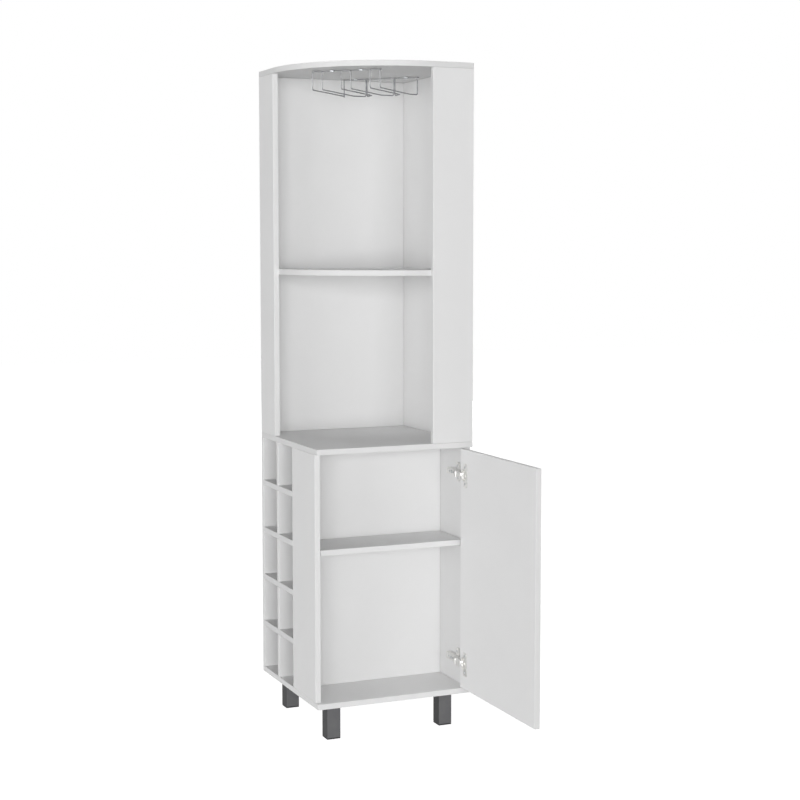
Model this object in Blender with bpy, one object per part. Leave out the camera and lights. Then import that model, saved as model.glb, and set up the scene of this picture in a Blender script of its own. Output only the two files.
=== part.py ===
"""Corner bar cabinet with wine cubbies, a hinged door, display bays and a hanging glass rack.

Metres, +Z up. The front is -Y and the wine cubbies open to -X, so the room corner is at the back
right. The cabinet is modelled from the front left floor corner of its square footprint, under the
empty cabinet_frame, which puts the middle of the footprint of cabinet and open door at the world
origin. The door stands open at a right angle, as it does at rest.
"""
import math

import bmesh
import bpy
from mathutils import Matrix, Vector

# Clearances
SEAT_GAP = 0.0003
OVERRUN = 0.002

# Cabinet body, all of it one board thickness
WIDTH = 0.450
DEPTH = 0.450
HEIGHT = 1.800
BOARD = 0.015
BOARD_EASE = 0.0006
COUNTER_HEIGHT = 0.788
MIDDLE_SHELF_HEIGHT = 1.252
WING_WIDTH = 0.118
ARC_STEPS = 28

# Door compartment behind the door, and the wine cubbies behind it
DOOR_SPACE = 0.0015
COMPARTMENT_DEPTH = 0.1605
SHELF_HEIGHT = 0.518
SHELF_FRONT_GAP = 0.004
SHELF_SIDE_GAP = 0.002
CUBBY_ROWS = 5
SLOT_GAP = 0.0004

# Shelf pins
PIN_RADIUS = 0.0025
PIN_GRIP = 0.009
PIN_REACH = 0.008
PIN_COLLAR_RADIUS = 0.0045
PIN_COLLAR = 0.0012
PIN_FROM_EDGE = 0.030
PIN_HOLE_GAP = 0.0003

# Feet
FOOT_SIZE = 0.038
FOOT_HEIGHT = 0.096
FOOT_INSET = 0.042
FOOT_EASE = 0.0015
GLIDE_SIZE = 0.034
GLIDE_HEIGHT = 0.003
GLIDE_EASE = 0.001
BOLT_RADIUS = 0.004
BOLT_IN_FOOT = 0.040
BOLT_IN_BOARD = 0.010
BOLT_HOLE_GAP = 0.0004
BOLT_TIP = 0.001

# Door panel
DOOR_WIDTH = 0.434
DOOR_EDGE_INSET = 0.008
DOOR_END_GAP = 0.0025
DOOR_OPEN_TURN = math.radians(90.0)

# Concealed hinges: where they sit and how they swing
HINGE_FROM_END = 0.070
ARM_PIN_FROM_SIDE = 0.0270
ARM_PIN_BEHIND_DOOR = 0.0043
CUP_PIN_FROM_EDGE = 0.0080
CUP_PIN_DEPTH = 0.0030
LINK_OPEN_TURN = math.radians(-51.4)
HINGE_PIN_RADIUS = 0.0011
HINGE_PIN_GAP = 0.00025

# Hinge cup and its flange
CUP_CENTRE_FROM_EDGE = 0.0210
CUP_BORE_RADIUS = 0.0175
CUP_BORE_DEPTH = 0.0120
CUP_WALL = 0.0008
CUP_RIM = 0.0008
FLANGE_WIDTH = 0.023
FLANGE_HEIGHT = 0.066
FLANGE_OFFSET = 0.010
FLANGE_THICKNESS = 0.0009
FLANGE_CORNER = 0.006
CUP_SCREW_SPACING = 0.045
CUP_SCREW_OFFSET = 0.0095

# Hinge link: a wide web between a narrow end in the cup and a wider eye in the arm
LINK_HALF_WIDTH = 0.0045
LINK_EYE_HALF_WIDTH = 0.0060
LINK_WEB_HALF_WIDTH = 0.0078
LINK_WEB_THICKNESS = 0.0022
LINK_WEB_START = 0.0045
LINK_WEB_CORNER = 0.0020
LINK_THICKNESS = 0.0018
LINK_EYE_RADIUS = 0.0024
LINK_ELBOW_BACK = 0.0040
LINK_ELBOW_DOWN = 0.0043
LINK_BEND_RADIUS = 0.0030

# Hinge arm and mounting plate
ARM_SHEET = 0.0015
ARM_NOSE_RADIUS = 0.0026
ARM_SIDE_GAP = 0.0003
ARM_HEIGHT = 0.0190
ARM_RISE = 0.026
ARM_LENGTH = 0.076
ARM_HEEL = 0.014
PLATE_BASE = 0.005
PLATE_CENTRE = 0.037
PLATE_WING_HEIGHT = 0.052
PLATE_WING_WIDTH = 0.016
PLATE_WING_CORNER = 0.005
PLATE_BLOCK_LENGTH = 0.044
PLATE_EASE = 0.0005

# Small screws
SCREW_HEAD_RADIUS = 0.0033
SCREW_HEAD_HEIGHT = 0.0018
SCREW_SHANK_RADIUS = 0.0016
SCREW_LENGTH = 0.010
SCREW_HOLE_GAP = 0.0003
ARM_SCREW_HEAD_RADIUS = 0.0038
ARM_SCREW_HEAD_HEIGHT = 0.0020
ARM_SCREW_SHANK_RADIUS = 0.0022
ARM_SCREW_LENGTH = 0.009

# Glass rack, laid out along the bay's diagonal and measured from its inner corner
RACK_WIRE_RADIUS = 0.0015
RACK_SHIFT = -0.006
RACK_CHANNELS = 3
RACK_PITCH = 0.084
RACK_RAIL_SPACING = 0.0286
RACK_FROM_CORNER = 0.1622
RACK_LENGTH = 0.241
RACK_FLARE_LENGTH = 0.028
RACK_LEG_SPREAD = 0.054
RACK_DROP = 0.0482
RACK_TOP_GAP = 0.0015
RACK_BEND = 0.006
RACK_FLARE_BEND = 0.010
RACK_BEND_STEPS = 4
BAR_OVERHANG = 0.003
CLIP_SHEET = 0.0010
CLIP_WIDTH = 0.010
CLIP_TAB = 0.011
CLIP_BEND_STEPS = 6

# Facets of round shapes
FINE_STEPS = 48
SMALL_STEPS = 24
SHARP_ANGLE = math.radians(35.0)

# Derived heights and planes
BOARD_LOW = FOOT_HEIGHT
FLOOR_TOP = FOOT_HEIGHT + BOARD
COUNTER_LOW = COUNTER_HEIGHT - BOARD
TOP_LOW = HEIGHT - BOARD
CARCASS_FRONT = BOARD + DOOR_SPACE
PARTITION_FRONT = CARCASS_FRONT + COMPARTMENT_DEPTH
CUBBY_FRONT = PARTITION_FRONT + BOARD
BACK_FRONT = DEPTH - BOARD
SIDE_LEFT = WIDTH - BOARD
DIVIDER_MIDDLE = (CUBBY_FRONT + BACK_FRONT) / 2
DOOR_EDGE = WIDTH - DOOR_EDGE_INSET
DOOR_FREE_EDGE = DOOR_EDGE - DOOR_WIDTH
DOOR_LOW = FLOOR_TOP + DOOR_END_GAP + SEAT_GAP
DOOR_HIGH = COUNTER_LOW - DOOR_END_GAP

# The hinge's two pins with the door shut, and the cup pin with the door open
ARM_PIN = Vector((SIDE_LEFT - ARM_PIN_FROM_SIDE, BOARD + ARM_PIN_BEHIND_DOOR, 0))
CUP_PIN_SHUT = Vector((DOOR_EDGE - CUP_PIN_FROM_EDGE, BOARD - CUP_PIN_DEPTH, 0))
CUP_PIN_OPEN = ARM_PIN + Matrix.Rotation(LINK_OPEN_TURN, 3, "Z") @ (CUP_PIN_SHUT - ARM_PIN)
DOOR_OPEN_REACH = CUP_PIN_OPEN.y - (CUP_PIN_SHUT.x - DOOR_FREE_EDGE)
HINGE_HEIGHTS = {"lower": DOOR_LOW + HINGE_FROM_END, "upper": DOOR_HIGH - HINGE_FROM_END}


def clear_scene():
    """Remove every object of the scene."""
    for thing in list(bpy.data.objects):
        bpy.data.objects.remove(thing, do_unlink=True)


def finish(name, colour, roughness, metallic=0.0):
    """Return a Principled material."""
    material = bpy.data.materials.new(name)
    material.use_nodes = True
    shader = material.node_tree.nodes["Principled BSDF"]
    shader.inputs["Base Color"].default_value = (*colour, 1.0)
    shader.inputs["Roughness"].default_value = roughness
    shader.inputs["Metallic"].default_value = metallic
    return material


def empty(name, place, turn=0.0, parent=None):
    """Return an empty that carries pieces, on their joint's axis where they move."""
    holder = bpy.data.objects.new(name, None)
    holder.location = place
    holder.rotation_euler = (0, 0, turn)
    holder.parent = parent
    bpy.context.scene.collection.objects.link(holder)
    return holder


def piece(name, bm, material, parent, smooth=False):
    """Turn a bmesh into a named object under its parent."""
    bmesh.ops.recalc_face_normals(bm, faces=bm.faces)
    mesh = bpy.data.meshes.new(name)
    bm.to_mesh(mesh)
    bm.free()
    if smooth:
        mesh.shade_smooth()
        mesh.set_sharp_from_angle(angle=SHARP_ANGLE)
    thing = bpy.data.objects.new(name, mesh)
    thing.parent = parent
    if material is not None:
        mesh.materials.append(material)
    bpy.context.scene.collection.objects.link(thing)
    return thing


def ease(thing, width, angle=math.radians(60.0)):
    """Round the sharp edges of a piece a little."""
    modifier = thing.modifiers.new("ease", "BEVEL")
    modifier.width = width
    modifier.segments = 1
    modifier.limit_method = "ANGLE"
    modifier.angle_limit = angle
    return thing


def combine(thing, other, operation):
    """Cut another shape out of a piece, or unite the two."""
    other.hide_render = True
    other.display_type = "WIRE"
    modifier = thing.modifiers.new(operation.lower(), "BOOLEAN")
    modifier.operation = operation
    modifier.solver = "EXACT"
    modifier.object = other


def block(low, high):
    """Return a box between two corners."""
    bm = bmesh.new()
    low, high = Vector(low), Vector(high)
    place = Matrix.Translation((low + high) / 2) @ Matrix.Diagonal((*(high - low), 1.0))
    bmesh.ops.create_cube(bm, size=1.0, matrix=place)
    return bm


def prism(outline, low, high, turn=None):
    """Return an outline in X and Y extruded from one height to another, then turned."""
    bm = bmesh.new()
    face = bm.faces.new([bm.verts.new((x, y, low)) for x, y in outline])
    extruded = bmesh.ops.extrude_face_region(bm, geom=[face])["geom"]
    risen = [item for item in extruded if isinstance(item, bmesh.types.BMVert)]
    bmesh.ops.translate(bm, verts=risen, vec=(0, 0, high - low))
    if turn is not None:
        bmesh.ops.transform(bm, matrix=turn, verts=bm.verts)
    return bm


def turned(profile, steps, place=None):
    """Spin a profile of radius and height about +Z, from its lower to its upper end on the axis."""
    bm = bmesh.new()
    points = [bm.verts.new((radius, 0, height)) for radius, height in profile]
    edges = [bm.edges.new(pair) for pair in zip(points[:-1], points[1:])]
    bmesh.ops.spin(
        bm, geom=points + edges, cent=(0, 0, 0), axis=(0, 0, 1), angle=math.tau, steps=steps
    )
    bmesh.ops.remove_doubles(bm, verts=bm.verts, dist=SEAT_GAP / 30)
    if place is not None:
        bmesh.ops.transform(bm, matrix=place, verts=bm.verts)
    return bm


def rod(radius, low, high, steps, place=None):
    """Return a plain round rod along +Z."""
    return turned([(0, low), (radius, low), (radius, high), (0, high)], steps, place)


def arc(centre, radius, start, stop, steps):
    """Return points on an arc in X and Y, both ends included."""
    turns = [start + (stop - start) * step / steps for step in range(steps + 1)]
    return [(centre[0] + radius * math.cos(t), centre[1] + radius * math.sin(t)) for t in turns]


def rounded_rectangle(width, height, corner, steps=4):
    """Return the outline of a centred rectangle with round corners."""
    right, top = width / 2 - corner, height / 2 - corner
    quarter = math.pi / 2
    outline = []
    for turn, (x, y) in enumerate([(right, top), (-right, top), (-right, -top), (right, -top)]):
        outline += arc((x, y), corner, turn * quarter, (turn + 1) * quarter, steps)
    return outline


def rounded_path(corners, radii, steps):
    """Return a path through corners, each inner one rounded with its own radius."""
    corners = [Vector(corner) for corner in corners]
    path = [corners[0]]
    for before, corner, after, radius in zip(corners, corners[1:], corners[2:], radii):
        back, ahead = (before - corner).normalized(), (after - corner).normalized()
        half = back.angle(ahead) / 2
        centre = corner + (back + ahead).normalized() * radius / math.sin(half)
        first = corner + back * radius / math.tan(half) - centre
        last = corner + ahead * radius / math.tan(half) - centre
        swing = first.angle(last)
        for step in range(steps + 1):
            share = step / steps
            path.append(
                centre
                + first * math.sin((1 - share) * swing) / math.sin(swing)
                + last * math.sin(share * swing) / math.sin(swing)
            )
    return path + [corners[-1]]


def along_x(x, y, z):
    """Return the place of a turned piece whose axis points along +X."""
    return Matrix.Translation((x, y, z)) @ Matrix.Rotation(math.radians(90.0), 4, "Y")


def along_y(x, y, z):
    """Return the place of a turned piece whose axis points along +Y."""
    return Matrix.Translation((x, y, z)) @ Matrix.Rotation(math.radians(-90.0), 4, "X")


def board(name, low, high, material, parent):
    """Return a board between two corners with eased edges."""
    return ease(piece(name, block(low, high), material, parent), BOARD_EASE)


def round_front(inset):
    """Return the round front edge of a board, from the left wing to the front wing.

    It is a quarter of an oval, or of a circle where width and depth are alike. The quarter is
    centred where the wings begin, and inset draws it in.
    """
    centre_x, centre_y = WIDTH - WING_WIDTH, DEPTH - WING_WIDTH
    reach_x, reach_y = centre_x - inset, centre_y - inset
    quarter = arc((0, 0), 1, math.pi, 1.5 * math.pi, ARC_STEPS)
    return [(centre_x + reach_x * x, centre_y + reach_y * y) for x, y in quarter]


def build_lower_carcass(white, frame):
    """Build the boards below the counter and the counter itself."""
    low, high = FLOOR_TOP + SEAT_GAP, COUNTER_LOW - SEAT_GAP
    left_inner = BOARD + SEAT_GAP
    bottom = board("bottom_panel", (0, 0, BOARD_LOW), (WIDTH, DEPTH, FLOOR_TOP), white, frame)
    for index, (x, y) in enumerate(foot_centres().values()):
        hole = rod(
            BOLT_RADIUS + BOLT_HOLE_GAP,
            BOARD_LOW - OVERRUN,
            BOARD_LOW + BOLT_IN_BOARD + BOLT_HOLE_GAP,
            SMALL_STEPS,
            Matrix.Translation((x, y, 0)),
        )
        combine(bottom, piece(f"bolt_hole_{index}", hole, None, frame), "DIFFERENCE")
    board("counter_top", (0, 0, COUNTER_LOW), (WIDTH, DEPTH, COUNTER_HEIGHT), white, frame)
    left = board(
        "left_side_panel", (0, CARCASS_FRONT, low), (BOARD, CUBBY_FRONT, high), white, frame
    )
    right = board(
        "right_side_panel", (SIDE_LEFT, CARCASS_FRONT, low), (WIDTH, DEPTH, high), white, frame
    )
    board(
        "partition_panel",
        (left_inner, PARTITION_FRONT, low),
        (SIDE_LEFT - SEAT_GAP, CUBBY_FRONT, high),
        white,
        frame,
    )
    board(
        "lower_back_panel", (0, BACK_FRONT, low), (SIDE_LEFT - SEAT_GAP, DEPTH, high), white, frame
    )
    return left, right


def build_cubbies(white, frame):
    """Build the wine cubbies: one upright divider and the shelves that cross it in half laps."""
    low, high = FLOOR_TOP + SEAT_GAP, COUNTER_LOW - SEAT_GAP
    right = SIDE_LEFT - SEAT_GAP
    middle = right / 2
    divider_front, divider_back = DIVIDER_MIDDLE - BOARD / 2, DIVIDER_MIDDLE + BOARD / 2
    row = (COUNTER_LOW - FLOOR_TOP - (CUBBY_ROWS - 1) * BOARD) / CUBBY_ROWS
    divider = board(
        "cubby_divider", (0, divider_front, low), (right, divider_back, high), white, frame
    )
    for index in range(1, CUBBY_ROWS):
        shelf_low = FLOOR_TOP + index * row + (index - 1) * BOARD
        shelf = board(
            f"cubby_shelf_{index}",
            (0, CUBBY_FRONT + SEAT_GAP, shelf_low),
            (right, BACK_FRONT - SEAT_GAP, shelf_low + BOARD),
            white,
            frame,
        )
        divider_slot = block(
            (-OVERRUN, divider_front - OVERRUN, shelf_low - SLOT_GAP),
            (middle + SLOT_GAP, divider_back + OVERRUN, shelf_low + BOARD + SLOT_GAP),
        )
        combine(divider, piece(f"divider_slot_{index}", divider_slot, None, frame), "DIFFERENCE")
        shelf_slot = block(
            (middle - SLOT_GAP, divider_front - SLOT_GAP, shelf_low - OVERRUN),
            (right + OVERRUN, divider_back + SLOT_GAP, shelf_low + BOARD + OVERRUN),
        )
        combine(shelf, piece(f"shelf_slot_{index}", shelf_slot, None, frame), "DIFFERENCE")


def build_compartment_shelf(white, steel, left, right, frame):
    """Build the loose shelf behind the door and the four pins that carry it."""
    shelf_low = SHELF_HEIGHT - BOARD
    front = CARCASS_FRONT + SHELF_FRONT_GAP
    back = PARTITION_FRONT - SHELF_SIDE_GAP
    board(
        "compartment_shelf",
        (BOARD + SHELF_SIDE_GAP, front, shelf_low),
        (SIDE_LEFT - SHELF_SIDE_GAP, back, SHELF_HEIGHT),
        white,
        frame,
    )
    pin_z = shelf_low - SEAT_GAP - PIN_RADIUS
    sides = {"left": (BOARD, 1.0, left), "right": (SIDE_LEFT, -1.0, right)}
    rows = {"front": front + PIN_FROM_EDGE, "back": back - PIN_FROM_EDGE}
    for side, (face, inward, panel) in sides.items():
        for row, y in rows.items():
            turn = Matrix.Diagonal((inward, 1.0, 1.0, 1.0))
            place = Matrix.Translation((face, y, pin_z)) @ turn @ along_x(0, 0, 0)
            profile = [
                (0, -PIN_GRIP),
                (PIN_RADIUS, -PIN_GRIP),
                (PIN_RADIUS, SEAT_GAP),
                (PIN_COLLAR_RADIUS, SEAT_GAP),
                (PIN_COLLAR_RADIUS, SEAT_GAP + PIN_COLLAR),
                (PIN_RADIUS, SEAT_GAP + PIN_COLLAR),
                (PIN_RADIUS, PIN_REACH),
                (0, PIN_REACH),
            ]
            piece(
                f"shelf_pin_{side}_{row}", turned(profile, SMALL_STEPS, place), steel, frame, True
            )
            hole = rod(
                PIN_RADIUS + PIN_HOLE_GAP, -PIN_GRIP - PIN_HOLE_GAP, OVERRUN, SMALL_STEPS, place
            )
            combine(panel, piece(f"pin_hole_{side}_{row}", hole, None, frame), "DIFFERENCE")


def build_upper_carcass(white, frame):
    """Build the walls, wings and shelves above the counter."""
    low, high = COUNTER_HEIGHT + SEAT_GAP, TOP_LOW - SEAT_GAP
    wing_x, wing_y = WIDTH - WING_WIDTH, DEPTH - WING_WIDTH
    inner = BOARD + SEAT_GAP
    board("left_wing_panel", (0, wing_y, low), (BOARD, DEPTH, high), white, frame)
    board("front_wing_panel", (wing_x, 0, low), (WIDTH, BOARD, high), white, frame)
    board("upper_side_panel", (SIDE_LEFT, inner, low), (WIDTH, DEPTH, high), white, frame)
    board(
        "upper_back_panel",
        (inner, BACK_FRONT, low),
        (SIDE_LEFT - SEAT_GAP, DEPTH, high),
        white,
        frame,
    )
    shelf_right, shelf_back = SIDE_LEFT - SEAT_GAP, BACK_FRONT - SEAT_GAP
    shelf = round_front(inner) + [(shelf_right, inner), (shelf_right, shelf_back)]
    shelf.append((inner, shelf_back))
    shelf_low = MIDDLE_SHELF_HEIGHT - BOARD
    middle = piece("middle_shelf", prism(shelf, shelf_low, MIDDLE_SHELF_HEIGHT), white, frame)
    ease(middle, BOARD_EASE)
    top = round_front(0) + [(WIDTH, 0), (WIDTH, DEPTH), (0, DEPTH)]
    ease(piece("top_panel", prism(top, TOP_LOW, HEIGHT), white, frame), BOARD_EASE)


def foot_centres():
    """Return the centre of each foot in the footprint."""
    near = FOOT_INSET + FOOT_SIZE / 2
    far_x, far_y = WIDTH - near, DEPTH - near
    return {
        "front_left": (near, near),
        "front_right": (far_x, near),
        "back_left": (near, far_y),
        "back_right": (far_x, far_y),
    }


def build_feet(grey, steel, felt, frame):
    """Build the four posts, the bolts that hold them and the glides under them."""
    post_low = GLIDE_HEIGHT + SEAT_GAP
    post_high = FOOT_HEIGHT - SEAT_GAP
    for name, (x, y) in foot_centres().items():
        half, pad = FOOT_SIZE / 2, GLIDE_SIZE / 2
        post = piece(
            f"foot_{name}",
            block((x - half, y - half, post_low), (x + half, y + half, post_high)),
            grey,
            frame,
        )
        ease(post, FOOT_EASE)
        centre = Matrix.Translation((x, y, 0))
        bolt_low = FOOT_HEIGHT - BOLT_IN_FOOT
        hole = rod(
            BOLT_RADIUS + BOLT_HOLE_GAP,
            bolt_low - BOLT_HOLE_GAP,
            FOOT_HEIGHT + OVERRUN,
            SMALL_STEPS,
            centre,
        )
        combine(post, piece(f"foot_hole_{name}", hole, None, frame), "DIFFERENCE")
        bolt_high = BOARD_LOW + BOLT_IN_BOARD
        profile = [
            (0, bolt_low),
            (BOLT_RADIUS - BOLT_TIP, bolt_low),
            (BOLT_RADIUS, bolt_low + BOLT_TIP),
            (BOLT_RADIUS, bolt_high - BOLT_TIP),
            (BOLT_RADIUS - BOLT_TIP, bolt_high),
            (0, bolt_high),
        ]
        piece(f"foot_bolt_{name}", turned(profile, SMALL_STEPS, centre), steel, frame, True)
        glide = piece(
            f"glide_{name}",
            block((x - pad, y - pad, 0), (x + pad, y + pad, GLIDE_HEIGHT)),
            felt,
            frame,
        )
        ease(glide, GLIDE_EASE)


def screw(name, place, head_radius, head_height, shank_radius, length, material, parent):
    """Build a screw whose head sits at the origin of its place and whose shank points down."""
    edge = head_height / 3
    profile = [
        (0, -length),
        (shank_radius, -length),
        (shank_radius, 0),
        (head_radius, 0),
        (head_radius, head_height - edge),
        (head_radius - edge, head_height),
        (0, head_height),
    ]
    return piece(name, turned(profile, SMALL_STEPS, place), material, parent, True)


def build_door(white, nickel, door_axis):
    """Build the door panel, its hinge cups and their screws, shut, in the frame of the cup pin."""
    origin = CUP_PIN_SHUT
    door = board(
        "door_panel",
        (DOOR_FREE_EDGE - origin.x, -origin.y, DOOR_LOW),
        (DOOR_EDGE - origin.x, BOARD - origin.y, DOOR_HIGH),
        white,
        door_axis,
    )
    face = BOARD - origin.y
    cup_x = DOOR_EDGE - CUP_CENTRE_FROM_EDGE - origin.x
    seat = face + SEAT_GAP
    for name, height in HINGE_HEIGHTS.items():
        build_hinge_cup(name, height, cup_x, face, nickel, door_axis)
        bore = rod(
            CUP_BORE_RADIUS, -CUP_BORE_DEPTH, OVERRUN, FINE_STEPS, along_y(cup_x, face, height)
        )
        combine(door, piece(f"cup_bore_{name}", bore, None, door_axis), "DIFFERENCE")
        for end, side in (("low", -1.0), ("high", 1.0)):
            screw_z = height + side * CUP_SCREW_SPACING / 2
            screw_x = cup_x - CUP_SCREW_OFFSET
            head = seat + FLANGE_THICKNESS + SEAT_GAP
            screw(
                f"hinge_{name}_cup_screw_{end}",
                along_y(screw_x, head, screw_z),
                SCREW_HEAD_RADIUS,
                SCREW_HEAD_HEIGHT,
                SCREW_SHANK_RADIUS,
                SCREW_LENGTH,
                nickel,
                door_axis,
            )
            hole = rod(
                SCREW_SHANK_RADIUS + SCREW_HOLE_GAP,
                -SCREW_LENGTH - SCREW_HOLE_GAP,
                OVERRUN,
                SMALL_STEPS,
                along_y(screw_x, head, screw_z),
            )
            combine(door, piece(f"screw_hole_{name}_{end}", hole, None, door_axis), "DIFFERENCE")


def build_hinge_cup(name, height, cup_x, face, nickel, door_axis):
    """Build a hinge cup with its flange and the pin that the link turns on."""
    outer = CUP_BORE_RADIUS - SEAT_GAP
    inner = outer - CUP_WALL
    floor = SEAT_GAP - CUP_BORE_DEPTH
    rim = SEAT_GAP + CUP_RIM / 2
    profile = [
        (0, floor),
        (outer, floor),
        (outer, rim),
        (inner, rim),
        (inner, floor + CUP_WALL),
        (0, floor + CUP_WALL),
    ]
    place = along_y(cup_x, face, height)
    cup = piece(
        f"hinge_{name}_cup", turned(profile, FINE_STEPS, place), nickel, door_axis, True
    )
    outline = rounded_rectangle(FLANGE_WIDTH, FLANGE_HEIGHT, FLANGE_CORNER)
    flange_place = along_y(cup_x - FLANGE_OFFSET, face, height)
    flange = piece(
        f"flange_{name}",
        prism(outline, SEAT_GAP, SEAT_GAP + FLANGE_THICKNESS, flange_place),
        nickel,
        door_axis,
    )
    mouth = rod((inner + outer) / 2, floor, OVERRUN, FINE_STEPS, place)
    combine(flange, piece(f"flange_mouth_{name}", mouth, None, door_axis), "DIFFERENCE")
    for end, side in (("low", -1.0), ("high", 1.0)):
        hole_z = height + side * CUP_SCREW_SPACING / 2
        hole = rod(
            SCREW_SHANK_RADIUS + SCREW_HOLE_GAP,
            -OVERRUN,
            OVERRUN,
            SMALL_STEPS,
            along_y(cup_x - CUP_SCREW_OFFSET, face, hole_z),
        )
        combine(flange, piece(f"flange_hole_{name}_{end}", hole, None, door_axis), "DIFFERENCE")
    pin = rod(HINGE_PIN_RADIUS, height - outer, height + outer, SMALL_STEPS)
    pin_piece = piece(f"cup_pin_{name}", pin, nickel, door_axis)
    in_wall = rod((inner + outer) / 2, floor, OVERRUN, SMALL_STEPS * 3, place)
    combine(pin_piece, piece(f"pin_limit_{name}", in_wall, None, door_axis), "INTERSECT")
    combine(cup, pin_piece, "UNION")
    combine(cup, flange, "UNION")


def link_web(height, elbow):
    """Return the wide flat middle of a link, from past the arm's nose to before the elbow."""
    stop = elbow.length - LINK_BEND_RADIUS
    outline = rounded_rectangle(stop - LINK_WEB_START, 2 * LINK_WEB_HALF_WIDTH, LINK_WEB_CORNER)
    along = Matrix.Rotation(math.atan2(elbow.y, elbow.x), 4, "Z")
    middle = Matrix.Translation(((LINK_WEB_START + stop) / 2, 0, height))
    upright = Matrix.Rotation(math.radians(90.0), 4, "X")
    half = LINK_WEB_THICKNESS / 2
    return prism(outline, -half, half, along @ middle @ upright)


def build_hinge_link(name, height, nickel, link_axis):
    """Build the goose-neck link, shut, in the frame of the arm pin."""
    cup_end = CUP_PIN_SHUT - ARM_PIN
    elbow = cup_end - Vector((LINK_ELBOW_BACK, LINK_ELBOW_DOWN, 0))
    low, high = height - LINK_HALF_WIDTH, height + LINK_HALF_WIDTH
    middle = rounded_path([(0, 0, 0), elbow, cup_end], [LINK_BEND_RADIUS], RACK_BEND_STEPS)
    sides = []
    for side in (1.0, -1.0):
        offsets = []
        for index, point in enumerate(middle):
            ahead = middle[min(index + 1, len(middle) - 1)] - middle[max(index - 1, 0)]
            across = Vector((-ahead.y, ahead.x, 0)).normalized() * side * LINK_THICKNESS / 2
            offsets.append((point.x + across.x, point.y + across.y))
        sides.append(offsets)
    strip = prism(sides[0] + sides[1][::-1], low, high)
    link = piece(f"hinge_{name}_link", strip, nickel, link_axis)
    web = link_web(height, elbow)
    combine(link, piece(f"link_web_{name}", web, None, link_axis), "UNION")
    ends = (("arm", Vector((0, 0, 0)), LINK_EYE_HALF_WIDTH), ("cup", cup_end, LINK_HALF_WIDTH))
    for end, centre, half_width in ends:
        place = Matrix.Translation(centre)
        eye = rod(LINK_EYE_RADIUS, height - half_width, height + half_width, SMALL_STEPS, place)
        combine(link, piece(f"link_eye_{name}_{end}", eye, None, link_axis), "UNION")
    for end, centre, half_width in ends:
        place = Matrix.Translation(centre)
        hole = rod(
            HINGE_PIN_RADIUS + HINGE_PIN_GAP,
            height - half_width - OVERRUN,
            height + half_width + OVERRUN,
            SMALL_STEPS,
            place,
        )
        combine(link, piece(f"link_hole_{name}_{end}", hole, None, link_axis), "DIFFERENCE")


def build_hinge_arm(name, height, nickel, arm_axis):
    """Build the channel-shaped arm with its nose pin, in the frame of the arm pin."""
    side = ARM_PIN_FROM_SIDE
    base = side - PLATE_BASE - SEAT_GAP
    back = side - ARM_HEIGHT
    nose = ARM_NOSE_RADIUS
    inner_half = LINK_EYE_HALF_WIDTH + ARM_SIDE_GAP
    outer_half = inner_half + ARM_SHEET
    outline = arc((0, 0), nose, math.pi, math.tau, SMALL_STEPS // 2)
    outline += [
        (base, ARM_HEEL),
        (base, ARM_LENGTH),
        (back, ARM_LENGTH),
        (back, ARM_RISE),
        (-nose, nose + ARM_SHEET),
    ]
    arm = piece(
        f"hinge_{name}_arm",
        prism(outline, height - outer_half, height + outer_half),
        nickel,
        arm_axis,
    )
    hollow = [
        (-nose - OVERRUN, -nose - OVERRUN),
        (base + OVERRUN, -nose - OVERRUN),
        (base + OVERRUN, ARM_LENGTH + OVERRUN),
        (back + ARM_SHEET, ARM_LENGTH + OVERRUN),
        (back + ARM_SHEET, ARM_RISE),
        (ARM_SHEET - nose, nose + ARM_SHEET),
        (-nose - OVERRUN, nose + SEAT_GAP),
    ]
    channel = prism(hollow, height - inner_half, height + inner_half)
    combine(arm, piece(f"arm_channel_{name}", channel, None, arm_axis), "DIFFERENCE")
    pin = rod(
        HINGE_PIN_RADIUS,
        height - inner_half - ARM_SHEET / 2,
        height + inner_half + ARM_SHEET / 2,
        SMALL_STEPS,
    )
    combine(arm, piece(f"arm_pin_{name}", pin, nickel, arm_axis), "UNION")
    screw_y = PLATE_CENTRE + DOOR_SPACE - ARM_PIN_BEHIND_DOOR + PLATE_WING_WIDTH / 2
    head = back - SEAT_GAP
    facing = Matrix.Translation((head, screw_y, height)) @ Matrix.Rotation(
        math.radians(-90.0), 4, "Y"
    )
    screw(
        f"hinge_{name}_arm_screw",
        facing,
        ARM_SCREW_HEAD_RADIUS,
        ARM_SCREW_HEAD_HEIGHT,
        ARM_SCREW_SHANK_RADIUS,
        ARM_SCREW_LENGTH,
        nickel,
        arm_axis,
    )
    hole = rod(
        ARM_SCREW_SHANK_RADIUS + SCREW_HOLE_GAP,
        -ARM_SCREW_LENGTH - SCREW_HOLE_GAP,
        OVERRUN,
        SMALL_STEPS,
        facing,
    )
    cutter = piece(f"arm_screw_hole_{name}", hole, None, arm_axis)
    combine(arm, cutter, "DIFFERENCE")
    build_mounting_plate(name, height, cutter, nickel, arm_axis)


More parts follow.
